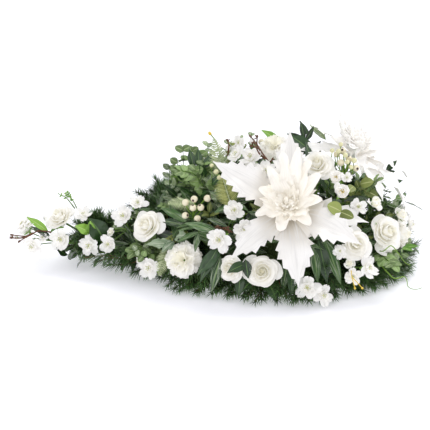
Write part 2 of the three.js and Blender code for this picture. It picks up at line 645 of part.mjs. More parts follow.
// Blossom, bud and berry sprays. A head is [kind, place, facing, size].
const SPRAYS = {
  blossom_middle: {
    through: [[22, -134, 122]],
    heads: [
      ["blossom", [34, -154, 163], [-0.1, -0.7, 0.7], 17], ["blossom", [52, -176, 134], [0.1, -0.9, 0.4], 18],
      ["blossom", [8, -172, 114], [-0.4, -0.85, 0.2], 19],
    ],
  },
  blossom_top: {
    through: [[66, -62, 216]],
    heads: [
      ["blossom", [66, -74, 238], [-0.3, -0.5, 0.8], 19], ["blossom", [92, -106, 222], [0, -0.75, 0.65], 18],
      ["blossom", [40, -50, 236], [-0.5, -0.3, 0.8], 16], ["bud", [70, -28, 250], [-0.2, 0, 1], 5],
    ],
  },
  blossom_neck: {
    through: [[-106, -106, 42]],
    heads: [
      ["blossom", [-122, -124, 40], [-0.4, -0.85, 0.25], 18],
      ["blossom", [-140, -106, 48], [-0.8, -0.6, 0.2], 12],
    ],
  },
  blossom_hem: {
    through: [[168, -184, 36]],
    heads: [
      ["blossom", [164, -216, 40], [-0.1, -0.9, 0.4], 19], ["blossom", [193, -214, 24], [0.3, -0.9, 0.3], 16],
    ],
  },
  blossom_right_low: {
    through: [[252, -172, 60]],
    heads: [
      ["blossom", [274, -190, 66], [0.4, -0.85, 0.3], 19],
      ["blossom", [244, -204, 50], [-0.1, -0.95, 0.1], 15],
      ["bud", [238, -188, 62], [-0.2, -0.9, 0.5], 8], ["blossom", [213, -198, 98], [-0.4, -0.8, 0.3], 13],
    ],
  },
  blossom_tail: {
    through: [[-236, -44, 74], [-180, -36, 84], [-130, -20, 60]],
    heads: [
      ["blossom", [-174, -52, 116], [-0.3, -0.7, 0.6], 17], ["blossom", [-146, -46, 140], [0, -0.6, 0.8], 15],
      ["bud", [-198, -56, 86], [-0.3, -0.6, 0.7], 8], ["blossom", [-202, -70, 66], [-0.3, -0.9, 0.2], 15],
      ["blossom", [-240, -56, 58], [-0.4, -0.8, 0.1], 18],
      ["blossom", [-252, -24, 108], [-0.2, -0.4, 0.9], 14],
    ],
  },
  blossom_tail_tip: {
    through: [[-350, -20, 58], [-290, -34, 56], [-200, -34, 44]],
    heads: [
      ["blossom", [-296, -40, 64], [-0.2, -0.9, 0.2], 19], ["blossom", [-372, -6, 82], [-0.7, -0.3, 0.6], 17],
      ["blossom", [-352, -34, 48], [-0.4, -0.8, -0.1], 17], ["blossom", [-368, 20, 58], [-0.6, 0.5, 0.4], 14],
      ["bud", [-382, -16, 58], [-1, -0.2, 0], 4], ["bud", [-330, 26, 78], [-0.6, 0.4, 0.6], 5],
      ["blossom", [-316, 38, 62], [-0.3, 0.8, 0.5], 17],
    ],
    leaves: [[[-308, -12, 72], [-352, -20, 92], 15]],
  },
  blossom_right_rim: {
    through: [[352, 4, 82]],
    heads: [
      ["bud", [350, -36, 116], [0.5, -0.3, 0.8], 9], ["blossom", [377, -10, 84], [0.9, -0.3, 0.3], 15],
      ["blossom", [366, 30, 96], [0.8, 0.3, 0.5], 16], ["bud", [358, 60, 80], [0.8, 0.5, 0.3], 8],
    ],
  },
  blossom_back_left: {
    through: [[-54, 116, 84]],
    heads: [
      ["blossom", [-60, 132, 112], [-0.4, 0.7, 0.6], 18], ["blossom", [-32, 150, 84], [-0.1, 0.95, 0.3], 19],
      ["blossom", [-92, 112, 84], [-0.6, 0.7, 0.4], 17],
    ],
  },
  blossom_back: {
    through: [[224, 152, 106]],
    heads: [
      ["blossom", [224, 168, 132], [0, 0.75, 0.65], 18], ["blossom", [240, 190, 92], [0.2, 0.95, 0.2], 18],
      ["blossom", [198, 158, 140], [-0.1, 0.7, 0.7], 17],
    ],
  },
  berries_front: {
    through: [[-40, -110, 148]],
    heads: [
      ["berry", [-54, -112, 164], [0, -0.5, 0.8], BERRY_RADIUS],
      ["berry", [-38, -116, 172], [0, -0.5, 0.8], BERRY_RADIUS],
      ["berry", [-40, -124, 158], [0, -0.5, 0.8], BERRY_RADIUS],
      ["berry", [-14, -112, 172], [0, -0.5, 0.8], BERRY_RADIUS],
      ["berry", [-54, -126, 144], [0, -0.8, 0.5], BERRY_RADIUS],
      ["berry", [-32, -132, 140], [0, -0.8, 0.5], BERRY_RADIUS],
      ["berry", [-26, -122, 158], [0, -0.5, 0.8], BERRY_RADIUS],
    ],
  },
  berries_top: {
    through: [[238, -70, 222]],
    heads: [
      ["berry", [236, -60, 246], [0, 0, 1], BERRY_RADIUS],
      ["berry", [224, -72, 244], [0, 0, 1], BERRY_RADIUS],
      ["berry", [246, -76, 236], [0, 0, 1], BERRY_RADIUS],
      ["berry", [230, -86, 232], [0, 0, 1], BERRY_RADIUS],
      ["berry", [258, -88, 222], [0, 0, 1], BERRY_RADIUS],
    ],
  },
  berries_back: {
    through: [[110, 112, 192]],
    heads: [
      ["berry", [100, 120, 206], [0, 0, 1], BERRY_RADIUS],
      ["berry", [118, 116, 214], [0, 0, 1], BERRY_RADIUS],
      ["berry", [122, 132, 200], [0, 0, 1], BERRY_RADIUS],
    ],
  },
  ranunculus: {
    through: [[236, -106, 176]],
    heads: [
      ["blossom", [220, -114, 212], [-0.2, -0.8, 0.6], 13],
      ["blossom", [228, -134, 192], [0, -0.85, 0.5], 16],
      ["blossom", [258, -142, 166], [0.2, -0.8, 0.5], 14], ["bud", [286, -118, 154], [0.5, -0.5, 0.7], 9],
    ],
    leaves: [[[240, -100, 160], [212, -132, 178], 18], [[242, -98, 160], [276, -116, 184], 18]],
  },
};

// Stems with pairs of leaves: their knee, their tip, and the largest leaf's length and width.
const ROUND_LEAF = { length: 26, width: 21, rounded: 1 };
const LEAFY_STEMS = {
  eucalyptus_left: { ...ROUND_LEAF, from: [-4, -40, 128], tip: [-66, -44, 204], pairs: 4, arch: 26 },
  eucalyptus_neck: { ...ROUND_LEAF, from: [-116, -50, 60], tip: [-152, -104, 62], pairs: 3, arch: 6 },
  eucalyptus_right: { ...ROUND_LEAF, from: [262, -52, 130], tip: [296, -86, 196], pairs: 3, arch: 10 },
  eucalyptus_hem: { ...ROUND_LEAF, from: [286, -100, 60], tip: [322, -176, 66], pairs: 4, arch: 8 },
  eucalyptus_back: { ...ROUND_LEAF, from: [20, 60, 130], tip: [-20, 110, 190], pairs: 4, show: V(0, 0.5, 1) },
  lance_leaves: {
    from: [-20, -70, 108], tip: [-30, -146, 116], pairs: 3, length: 62, width: 17, bend: 0.35, arch: 14,
  },
  top_leaves: {
    from: [184, 16, 150], tip: [170, 22, 248], pairs: 2, length: 46, width: 17, arch: 0,
    show: V(0.2, -1, 0.4),
  },
};

const FERNS = {
  fern_top: { from: [14, -20, 190], tip: [-2, -34, 262], width: 30, show: V(0, -1, 0.2) },
  fern_left: { from: [-34, -90, 150], tip: [-86, -104, 160], width: 30 },
  fern_neck: { from: [-88, -104, 72], tip: [-102, -152, 36], width: 24, show: V(0, -0.9, 0.4) },
};

// Leafy twigs that fill the arrangement between its flowers: the piece whose stem carries them, the place on it
// where they part, and each twig's tip and width.
const TWIGS = {
  lance_leaves: { root: [-20, -70, 108], tips: [[-100, -58, 150, 36], [-92, -122, 100, 34]] },
  eucalyptus_left: { root: [-4, -40, 128], tips: [[-44, -84, 182, 34], [22, -86, 184, 36], [-70, 14, 190, 40]] },
  eucalyptus_back: {
    root: [20, 60, 130],
    tips: [
      [-76, 70, 160, 46], [-20, 62, 208, 40], [36, 6, 222, 38], [-30, 110, 156, 40], [56, 144, 154, 50],
      [66, 62, 222, 48],
    ],
  },
  top_leaves: {
    root: [184, 16, 150],
    tips: [[146, 92, 212, 48], [204, 112, 188, 48], [146, 150, 156, 50], [110, 50, 214, 38], [262, 98, 172, 48]],
  },
  large_flower_back_stem: {
    root: [250, 0, 150],
    tips: [[310, 88, 150, 46], [344, 38, 150, 44], [346, -52, 144, 34], [364, 8, 120, 36]],
  },
  eucalyptus_right: { root: [262, -52, 130], tips: [[312, -100, 158, 34], [236, -66, 190, 34]] },
  stem_back_left: { root: [38, 130, 90], tips: [[-34, 124, 122, 44], [98, 156, 118, 44]] },
  stem_back: { root: [168, 150, 85], tips: [[112, 178, 116, 42], [236, 164, 122, 42]] },
  stem_tail: {
    root: [-140, 0, 60],
    tips: [[-196, 34, 100, 30], [-186, -34, 98, 26], [-246, 6, 96, 28], [-150, 66, 92, 32]],
  },
};

// Runs of garland: places along the foam's rim as [x, side], or a wire of its own, and the sprigs' tips.
const GARLANDS = {
  fir_tail: {
    wire: [[-112, 12, 20], [-150, 18, 30], [-196, 20, 36], [-236, 20, 40]],
    tips: [[-296, -14, 46], [-254, -42, 28], [-266, 52, 52], [-222, 24, 84], [-206, 78, 38], [-160, -56, 18]],
  },
  fir_shoulder: {
    wire: [[-50, 24, 56], [-78, 46, 70], [-96, 62, 86]],
    tips: [[-118, 54, 158], [-154, 26, 138], [-86, 100, 160], [-172, 34, 106], [-132, 118, 56]],
  },
  fir_front: {
    rim: [[-60, -1], [-10, -1], [50, -1], [100, -1], [150, -1], [200, -1]],
    tips: [
      [-84, -116, 16], [-40, -146, 14], [26, -174, 14], [90, -196, 14], [150, -202, 14], [204, -182, 14],
    ],
  },
  fir_right: {
    rim: [[214, -1], [250, -1], [282, -1], [299, -1]],
    tips: [[250, -150, 14], [290, -126, 16], [330, -94, 18], [362, -56, 18], [376, -12, 22]],
  },
  fir_right_back: {
    rim: [[299, 1], [282, 1], [250, 1], [214, 1]],
    tips: [[374, 36, 22], [350, 88, 18], [310, 140, 16], [262, 178, 14]],
  },
  fir_back: {
    rim: [[200, 1], [150, 1], [100, 1], [50, 1], [-10, 1], [-60, 1]],
    tips: [[204, 210, 14], [138, 224, 14], [64, 210, 14], [-14, 186, 14], [-88, 146, 16]],
  },
};

// Colours

const finish = (color, roughness) =>
  new THREE.MeshStandardMaterial({ color, roughness, metalness: 0, flatShading: true });
const BOARD = finish("#3f4a3a", 0.8);
const FOAM = finish("#47663c", 0.95);
const PETAL = finish("#f5f4ef", 0.85);
const BRACT = finish("#f7f5f1", 0.8);
const CREAM = finish("#efe2c8", 0.8);
const BERRY = finish("#ece6cc", 0.45);
const LEAF = finish("#35582c", 0.5);
const SAGE = finish("#87a06c", 0.6);
const FIR = finish("#244a28", 0.6);

// Assembly

// Each piece: its name, material, own frame and a function that makes it in that frame. A piece is cut
// clear of every piece before it, so the list runs from what stands in front to what gives way.
const pieces = [];
const add = (name, material, frame, make) => pieces.push({ name, material, frame, make });
const still = (at) => new THREE.Matrix4().setPosition(at);
const inFrame = (frame, solid) => placed(solid, frame.clone().invert());

for (const [name, { at, look, bracts: list }] of Object.entries(LARGE_FLOWERS)) {
  const [centre, axis] = [point(at), point(look).normalize()];
  const frame = facing(centre, axis);
  add(`large_flower_${name}_middle`, CREAM, frame, () => flowerMiddle(name === "front" ? 10 : 8, 38));
  add(`large_flower_${name}_bracts`, BRACT, frame, () => bracts(list));
}
for (const [name, at, look, radius, petals, ruffle] of ROSES)
  add(name, PETAL, facing(point(at), point(look), radius), () => rose({ radius, petals, ruffle }));
for (const [name, { at, look }] of Object.entries(LARGE_FLOWERS)) {
  const [centre, axis] = [point(at), point(look).normalize()];
  const behind = centre.clone().addScaledVector(axis, -8);
  const owner = `large_flower_${name}_stem`;
  add(owner, LEAF, still(behind), () => {
    const path = stemPath(behind, axis);
    const parts = [stem(path, THICK_STEM_RADIUS, THICK_STEM_RADIUS), ...leafyTwigs(owner, path)];
    return inFrame(still(behind), fuse(parts));
  });
}
for (const shared of [...new Set(ROSES.map((row) => row[6]))]) {
  const blooms = ROSES.filter((row) => row[6] === shared);
  const root = point(blooms[0][1]);
  add(`stem_${shared}`, LEAF, still(root), () => {
    const parts = [];
    let main = null;
    for (const [, at, look, radius] of blooms) {
      const [centre, axis] = [point(at), point(look).normalize()];
      const seat = centre.clone().addScaledVector(axis, -0.6 * radius);
      const path = stemPath(seat, axis, main ? pointOn(main, 0.66) : footOf(seat));
      main = main ?? path;
      parts.push(calyx(centre, axis, radius), stem(path, STEM_RADIUS, STEM_RADIUS));
    }
    for (const [owner, from, to, width] of STEM_LEAVES)
      if (owner === shared)
        parts.push(leafTo(nearestOn(main, point(from)), point(to), width, V(0, Math.sign(to[1]), 1)));
    parts.push(...leafyTwigs(`stem_${shared}`, main));
    return fuse(parts).translate(root.clone().negate().toArray());
  });
}
for (const [name, { heads, through, leaves }] of Object.entries(SPRAYS)) {
  const origin = point(through[0]);
  const material = name.startsWith("berries") ? BERRY : PETAL;
  add(name, material, still(origin), () => inFrame(still(origin), spray(heads, { through, leaves })));
}
for (const [name, plan] of Object.entries(FERNS))
  add(name, SAGE, still(point(plan.from)), () => inFrame(still(point(plan.from)), fern(plan)));
for (const [name, plan] of Object.entries(LEAFY_STEMS))
  add(name, name.startsWith("eucalyptus") ? SAGE : LEAF, still(point(plan.from)), () =>
    inFrame(still(point(plan.from)), leafyStem(name, plan)));
for (const [name, plan] of Object.entries(GARLANDS)) {
  const start = still(garlandPath(plan)[0]);
  add(name, FIR, start, () => inFrame(start, firGarland(plan)));
}

// The largest body of a solid: a scrap that a cut left loose is dropped.
function wholeBody(solid) {
  const bodies = solid.decompose();
  return bodies.reduce((most, body) => (body.volume() > most.volume() ? body : most));
}

const touch = (a, b) => {
  const [p, q] = [a.boundingBox(), b.boundingBox()];
  return [0, 1, 2].every((k) => p.min[k] <= q.max[k] && q.min[k] <= p.max[k]);
};

const group = new THREE.Group();
group.name = "teardrop_arrangement";

function addMesh(name, material, frame, world) {
  const made = inFrame(frame, world).getMesh();
  const geometry = new THREE.BufferGeometry();
  geometry.setAttribute("position", new THREE.BufferAttribute(new Float32Array(made.vertProperties), 3));
  geometry.setIndex(new THREE.BufferAttribute(new Uint32Array(made.triVerts), 1));
  geometry.computeVertexNormals();
  const mesh = new THREE.Mesh(geometry, material);
  mesh.name = name;
  frame.decompose(mesh.position, mesh.quaternion, mesh.scale);
  group.add(mesh);
}

let foam = foamCore();
const cutters = [];
for (const { name, material, frame, make } of pieces) {
  grown = 0;
  let solid = placed(make(), frame);
  for (const cutter of cutters) if (touch(solid, cutter)) solid = solid.subtract(cutter);
  solid = wholeBody(solid);
  grown = GAP;
  const cutter = placed(make(), frame);
  cutters.push(cutter);
  foam = foam.subtract(cutter);
  addMesh(name, material, frame, solid);
}
grown = 0;
addMesh("foam_core", FOAM, new THREE.Matrix4(), wholeBody(foam));
addMesh("backing_board", BOARD, new THREE.Matrix4(), backingBoard());

export default group;
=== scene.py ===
"""Dresses a packed teardrop funeral arrangement in silk flowers, berries, foliage and fir.

Shapes are worked out in millimetres, as on the drawing whose places they repeat, and turn into metres when a
piece is cast. Each shape is a grid over two parameters, or a profile carried along a path.
"""

import math

import bpy
import numpy as np
from bpy.props import FloatProperty, FloatVectorProperty, IntProperty, PointerProperty
from bpy.types import Operator, Panel, PropertyGroup
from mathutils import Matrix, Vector


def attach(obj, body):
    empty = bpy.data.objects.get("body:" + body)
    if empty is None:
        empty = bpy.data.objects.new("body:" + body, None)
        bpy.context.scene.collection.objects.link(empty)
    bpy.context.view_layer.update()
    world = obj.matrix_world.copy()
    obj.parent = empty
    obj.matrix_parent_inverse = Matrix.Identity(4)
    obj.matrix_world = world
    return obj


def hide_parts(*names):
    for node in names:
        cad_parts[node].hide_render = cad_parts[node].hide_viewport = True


bl_info = {
    "name": "Teardrop Arrangement",
    "version": (1, 0, 0),
    "blender": (4, 5, 0),
    "location": "View3D > Sidebar > Arrangement",
    "description": "Silk flowers, berries, foliage and fir round a packed teardrop arrangement",
    "category": "Object",
}

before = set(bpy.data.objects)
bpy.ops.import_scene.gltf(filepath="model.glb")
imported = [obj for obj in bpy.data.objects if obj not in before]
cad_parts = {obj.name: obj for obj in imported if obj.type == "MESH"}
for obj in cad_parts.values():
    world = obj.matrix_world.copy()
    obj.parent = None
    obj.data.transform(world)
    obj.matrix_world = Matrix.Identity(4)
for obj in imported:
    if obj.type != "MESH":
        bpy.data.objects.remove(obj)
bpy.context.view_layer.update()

# The base, in millimetres
MM = 0.001
BOARD_THICKNESS = 5
FOAM_TAIL_X = -150
FOAM_HEAD_X = 160
FOAM_HEAD_RADIUS = 140
FOAM_TAIL_HEIGHT = 56
FOAM_HEAD_HEIGHT = 145
BOARD_MARGIN = 6

# Stems that stand in it: how deep, where they aim along X, how far their end is looked for, and their shape
STEM_DEPTH = 24
AIM_X = (-90, 230)
SEARCH_STEPS = 420
STEM_RADIUS = 2
THICK_STEM_RADIUS = 3
TWIG_RADIUS = 1.4
TWIG_SLANT = 0.25
TWIG_ARC = 0.3
FERN_ARCH = 0.12

# Fir: the wire and its place round the foam, how far sprigs fan up, how low they hang, and the needles
WIRE_RADIUS = 3
GARLAND_HEIGHT = 20
GARLAND_OFFSET = 4
GARLAND_FAN = 46
SPRIG_CLEARANCE = 9
FLOOR_CLEARANCE = 1.5
NEEDLE_WIDTH = 2.5

# Petals and leaves: thickness, how bracts draw in, the curled middles, the smallest rosebud, and how clear
# of a bloom the greenery keeps
BLADE = 0.5
BRACT_TAPER = 1.25
RIBBON_TAPER = 2.3
CURLS = 44
CURL_LENGTH = 46
ROSEBUD_SIZE = 7
CLEAR_MARGIN = 1.05
GOLDEN_ANGLE = math.pi * (3 - math.sqrt(5))

# Looks
SHARP_ANGLE = math.radians(70)
PETAL_GLOW = (1.0, 0.97, 0.88)
PETAL_DEPTH = 0.008
PAPER_GLOW = 0.41
# The roses' painted glow, which lifts the shade between their petals
ROSE_PAINTED_GLOW = 0.08

# The stage: the floor in metres, the sky, and where the suns stand and how wide they are in radians
FLOOR_RADIUS = 9
SKY_COLOUR = (0.97, 0.97, 1.0, 1)
SUNS = {"key": ((0.5, 0.35, 0.8), 0.6), "fill": ((-0.5, -0.8, 0.5), 1.0)}

# The camera, as in the photograph
VIEW_ELEVATION = math.radians(20)
VIEW_DISTANCE = 2.2
VIEW_TARGET = (0.0, 0.0, 0.099)
VIEW_LENS = 94.95
VIEW_SENSOR = 36
VIEW_CLIP = 60
VIEW_DEPTH = np.array([0, -math.cos(VIEW_ELEVATION), math.sin(VIEW_ELEVATION)])

# The layout, in millimetres, as in the drawing

# Every bloom with petals in a spiral: name, middle, facing, radius, stem that it shares
ROSES = [
    ("rose_top", (187, -92, 232), (-0.1, -0.6, 0.8), 33, "top"),
    ("carnation_top", (110, -28, 248), (-0.15, -0.45, 0.9), 29, "top"),
    ("rose_neck", (-127, -88, 112), (-0.5, -0.62, 0.6), 35, "neck"),
    ("rose_front", (84, -203, 66), (-0.1, -0.92, 0.38), 35, "front"),
    ("rose_front_side", (26, -188, 66), (-0.55, -0.78, 0.3), 27, "front"),
    ("rose_under_petal", (252, -186, 112), (0.2, -0.88, 0.42), 32, "under_petal"),
    ("rose_right", (316, -128, 112), (0.5, -0.74, 0.42), 38, "right"),
    ("rose_right_side", (356, -64, 84), (0.88, -0.4, 0.25), 31, "right"),
    ("rose_tail", (-301, -2, 98), (-0.3, -0.4, 0.86), 31, "tail"),
    ("carnation_neck", (-60, -152, 68), (-0.35, -0.8, 0.45), 34, "carnation"),
    ("rose_back_left", (40, 168, 108), (-0.3, 0.82, 0.5), 35, "back_left"),
    ("rose_back", (165, 192, 84), (0.05, 0.9, 0.42), 36, "back"),
    ("rose_back_right", (292, 148, 108), (0.55, 0.7, 0.45), 34, "back"),
]

# How far a rose is turned about its facing, where that isn't left to its radius
ROSE_TURNS = {"rose_front": 36.6, "rose_neck": 36.9}

# Green leaves that the rose stems carry: stem, root, tip, width
STEM_LEAVES = [
    ("front", (92, -150, 72), (112, -216, 18), 34),
    ("front", (62, -150, 80), (46, -214, 36), 22),
    ("under_petal", (236, -96, 63), (180, -212, 66), 34),
    ("tail", (-205, -2, 70), (-232, -40, 104), 34),
    ("tail", (-225, -2, 72), (-268, -34, 74), 18),
    ("top", (150, -40, 190), (172, -10, 262), 26),
    ("carnation", (-34, -110, 64), (-10, -176, 52), 30),
    ("neck", (-100, -66, 86), (-72, -128, 108), 24),
    ("back_left", (30, 130, 96), (-22, 176, 86), 26),
    ("back", (190, 140, 84), (228, 206, 62), 32),
    ("back", (200, 140, 90), (120, 196, 52), 28),
    ("right", (300, -80, 80), (352, -118, 56), 26),
]

# The large flowers: middle, facing, and bracts as turn in degrees, length, width, lift, droop, teeth
LARGE_FLOWERS = {
    "front": {
        "at": (130, -168, 170), "look": (0, -0.75, 0.66), "clear": 112, "ribbon": 277,
        "silks": ("bract_velvet", "cream_silk"),
        "bracts": [
            (88, 140, 56, 0.5, 0.5, 5), (149, 156, 62, 0.35, 0.3, 6), (222, 136, 50, 0.15, 0.3, 5),
            (277, 147, 62, 0.15, 0.75, 5), (331, 142, 60, 0.25, 0.35, 5), (356, 150, 50, -0.05, 0.4, 5),
            (44, 84, 34, 1.2, 1.4, 0), (100, 112, 26, 1.05, 0.4, 0), (80, 118, 26, 1.0, 0.4, 0),
            (62, 98, 30, 1.1, 0.8, 0), (124, 92, 30, 1.15, 0.7, 0), (150, 64, 30, 1.2, 1.5, 0),
            (196, 60, 32, 1.0, 1.5, 0), (248, 46, 30, 0.95, 1.5, 0), (318, 52, 32, 1.1, 1.5, 0),
            (10, 62, 30, 1.2, 1.5, 0),
        ],
    },
    "back": {
        "at": (262, 0, 222), "look": (0.38, -0.12, 0.92), "clear": 128,
        # The back flower's silks are brighter copies of the front ones: painted light from behind it
        "silks": ("sheer_silk", "sheer_curls"),
        "bracts": [
            (27, 127, 46, 0.34, 0.4, 5), (-16, 129, 48, 0.36, 0.5, 5), (-62, 140, 52, 0.23, 0.7, 5),
            (-98, 150, 50, 0.08, 0.8, 5), (72, 113, 46, 0.22, 0.4, 4), (112, 103, 42, -0.1, 0.4, 4),
            (-128, 118, 42, 0.05, 0.6, 4), (20, 76, 26, 0.85, 0.2, 0), (140, 74, 26, 0.8, 0.2, 0),
            (-100, 62, 34, 0.1, 0.9, 0), (84, 84, 22, 0.9, 0.2, 0), (52, 84, 22, 0.85, 0.2, 0),
            (-50, 66, 32, 0.2, 0.8, 0), (-150, 62, 32, 0.3, 0.8, 0), (68, 84, 20, 0.95, 0.2, 0),
            (110, 82, 22, 0.85, 0.2, 0), (-10, 76, 26, 0.65, 0.4, 0), (172, 68, 26, 0.7, 0.4, 0),
        ],
    },
}

# Sprays: the stem's points, heads as place, facing, size and kind where that isn't a blossom, and leaves as
# root, tip, width
SPRAYS = {
    "blossom_middle": {
        "through": [(22, -134, 122)],
        "heads": [
            ((34, -154, 163), (-0.1, -0.7, 0.7), 17), ((52, -176, 134), (0.1, -0.9, 0.4), 18),
            ((8, -172, 114), (-0.4, -0.85, 0.2), 19),
        ],
    },
    "blossom_top": {
        "through": [(66, -62, 216)],
        "heads": [
            ((66, -74, 238), (-0.3, -0.5, 0.8), 19), ((92, -106, 222), (0, -0.75, 0.65), 18),
            ((40, -50, 236), (-0.5, -0.3, 0.8), 16), ((70, -28, 250), (-0.2, 0, 1), 5, "bud"),
        ],
    },
    "blossom_neck": {
        "through": [(-106, -106, 42)],
        "heads": [((-122, -124, 40), (-0.4, -0.85, 0.25), 18), ((-140, -106, 48), (-0.8, -0.6, 0.2), 12)],
    },
    "blossom_hem": {
        "through": [(168, -184, 36)],
        "heads": [((164, -216, 40), (-0.1, -0.9, 0.4), 19), ((193, -214, 24), (0.3, -0.9, 0.3), 16)],
    },
    "blossom_right_low": {
        "through": [(252, -172, 60)],
        "heads": [
            ((274, -190, 68), (0.7, -0.7, 0.3), 17), ((246, -202, 56), (-0.1, -0.95, 0.1), 13),
            ((240, -194, 78), (-0.1, -0.9, 0.3), 10, "bud"), ((222, -197, 100), (-0.4, -0.8, 0.3), 11),
        ],
    },
    "blossom_tail": {
        "through": [(-236, -44, 74), (-180, -36, 84), (-130, -20, 60)],
        "heads": [
            ((-174, -52, 116), (-0.3, -0.7, 0.6), 17), ((-146, -46, 140), (0, -0.6, 0.8), 15),
            ((-198, -56, 86), (-0.3, -0.6, 0.7), 8, "bud"), ((-202, -70, 66), (-0.3, -0.9, 0.2), 15),
            ((-240, -56, 58), (-0.4, -0.8, 0.1), 18), ((-252, -24, 108), (-0.2, -0.4, 0.9), 14),
        ],
    },
    "blossom_tail_tip": {
        "through": [(-350, -20, 58), (-290, -34, 56), (-200, -34, 44)],
        "heads": [
            ((-296, -40, 64), (-0.2, -0.9, 0.2), 19), ((-372, -6, 82), (-0.7, -0.3, 0.6), 17),
            ((-352, -34, 48), (-0.4, -0.8, -0.1), 17), ((-368, 20, 58), (-0.6, 0.5, 0.4), 14),
            ((-382, -16, 58), (-1, -0.2, 0), 4, "bud"), ((-330, 26, 78), (-0.6, 0.4, 0.6), 5, "bud"),
            ((-316, 38, 62), (-0.3, 0.8, 0.5), 17),
        ],
        "leaves": [((-308, -12, 72), (-352, -20, 92), 15)],
    },
    "blossom_right_rim": {
        "through": [(352, 4, 82)],
        "heads": [
            ((352, -60, 121), (0.6, -0.5, 0.6), 17, "bud"), ((377, -10, 84), (0.9, -0.3, 0.3), 15),
            ((366, 30, 96), (0.8, 0.3, 0.5), 16), ((358, 60, 80), (0.8, 0.5, 0.3), 8, "bud"),
        ],
    },
    "blossom_back_left": {
        "through": [(-54, 116, 84)],
        "heads": [
            ((-60, 132, 112), (-0.4, 0.7, 0.6), 18), ((-32, 150, 84), (-0.1, 0.95, 0.3), 19),
            ((-92, 112, 84), (-0.6, 0.7, 0.4), 17),
        ],
    },
    "blossom_back": {
        "through": [(224, 152, 106)],
        "heads": [
            ((224, 168, 132), (0, 0.75, 0.65), 18), ((240, 190, 92), (0.2, 0.95, 0.2), 18),
            ((198, 158, 140), (-0.1, 0.7, 0.7), 17),
        ],
    },
    "ranunculus": {
        "through": [(236, -106, 176)],
        "heads": [
            ((220, -114, 212), (-0.2, -0.8, 0.6), 13, "ranunculus"),
            ((228, -134, 192), (0, -0.85, 0.5), 16, "ranunculus"), ((258, -142, 166), (0.2, -0.8, 0.5), 13),
            ((294, -110, 164), (0.5, -0.5, 0.7), 15, "bud"),
        ],
        "leaves": [((240, -100, 160), (212, -132, 178), 18), ((242, -98, 160), (276, -116, 184), 18)],
    },
}

# Berry sprays: the stem's knee, every berry's middle, and which berries face lower
BERRIES = {
    "berries_front": {
        "through": (-40, -110, 148),
        "berries": [
            (-54, -112, 164), (-38, -116, 172), (-40, -124, 158), (-14, -112, 172), (-54, -126, 144),
            (-32, -132, 140), (-26, -122, 158),
        ],
        "low": (4, 5),
    },
    "berries_top": {
        "through": (238, -70, 222),
        "berries": [(236, -60, 246), (224, -72, 244), (246, -76, 236), (230, -86, 232), (258, -88, 222)],
    },
    "berries_back": {
        "through": (110, 112, 192),
        "berries": [(100, 120, 206), (118, 116, 214), (112, 132, 198), (92, 104, 216), (128, 130, 204)],
    },
}

# Stems with pairs of leaves: their knee, their tip, and the largest leaf's length and width
LEAFY_STEMS = {
    "eucalyptus_left": {"from": (-4, -40, 128), "tip": (-66, -44, 204), "pairs": 4, "arch": 26},
    "eucalyptus_neck": {"from": (-116, -50, 60), "tip": (-152, -104, 62), "pairs": 3, "arch": 6},
    "eucalyptus_right": {"from": (262, -52, 130), "tip": (296, -86, 196), "pairs": 3, "arch": 10},
    "eucalyptus_hem": {"from": (286, -100, 60), "tip": (322, -176, 66), "pairs": 4, "arch": 8},
    "eucalyptus_back": {"from": (20, 60, 130), "tip": (-20, 110, 190), "pairs": 4, "show": (0, 0.5, 1)},
    "lance_leaves": {
        "paint": "lance_leaf", "from": (-20, -70, 108), "tip": (-30, -146, 116), "pairs": 3, "length": 62,
        "width": 17, "bend": 0.35, "arch": 14, "rounded": 0,
    },
    "top_leaves": {
        "from": (184, 16, 150), "tip": (170, 22, 248), "pairs": 2, "length": 46, "width": 17, "arch": 0,
        "show": (0.2, -1, 0.4), "rounded": 0,
    },
}

FERNS = {
    "fern_top": {"from": (14, -20, 190), "tip": (-2, -34, 262), "width": 30, "show": (0, -1, 0.2)},
    "fern_left": {"from": (-34, -90, 150), "tip": (-86, -104, 160), "width": 30, "show": (0, -0.5, 1)},
    "fern_neck": {"from": (-88, -104, 72), "tip": (-102, -152, 36), "width": 24, "show": (0, -0.9, 0.4)},
    "fern_bract": {
        "from": (30, -134, 164), "tip": (14, -118, 212), "width": 40, "show": (0, -0.9, 0.4), "extra": True,
        "paint": "olive_fern",
    },
}

# Leafy twigs between the flowers: the piece whose stem carries them, where they part, and each tip and width
TWIGS = {
    "lance_leaves": {"root": (-20, -70, 108), "tips": [(-100, -58, 150, 36), (-92, -122, 100, 34)]},
    "eucalyptus_left": {
        "root": (-4, -40, 128), "tips": [(-44, -84, 182, 34), (22, -86, 184, 36), (-70, 14, 190, 40)],
    },
    "eucalyptus_back": {
        "root": (20, 60, 130),
        "tips": [
            (-76, 70, 160, 46), (-20, 62, 208, 40), (36, 6, 222, 38), (-30, 110, 156, 40),
            (56, 144, 154, 50), (66, 62, 222, 48),
        ],
    },
    "top_leaves": {
        "root": (184, 16, 150),
        "tips": [
            (146, 92, 212, 48), (204, 112, 188, 48), (146, 150, 156, 50), (110, 50, 214, 38),
            (262, 98, 172, 48),
        ],
    },
    "large_flower_back_stem": {
        "root": (250, 0, 150),
        "tips": [(310, 88, 150, 46), (344, 38, 150, 34), (346, -52, 144, 20), (364, 8, 120, 36)],
    },
    "eucalyptus_right": {"root": (262, -52, 130), "tips": [(312, -100, 158, 34), (236, -66, 190, 34)]},
    "stem_back_left": {"root": (38, 130, 90), "tips": [(-34, 124, 122, 44), (98, 156, 118, 44)]},
    "stem_back": {"root": (168, 150, 85), "tips": [(112, 178, 116, 42), (236, 164, 122, 42)]},
    "stem_tail": {
        "root": (-140, 0, 60),
        "tips": [(-196, 34, 100, 30), (-186, -34, 98, 26), (-246, 6, 96, 28), (-150, 66, 92, 32)],
    },
}

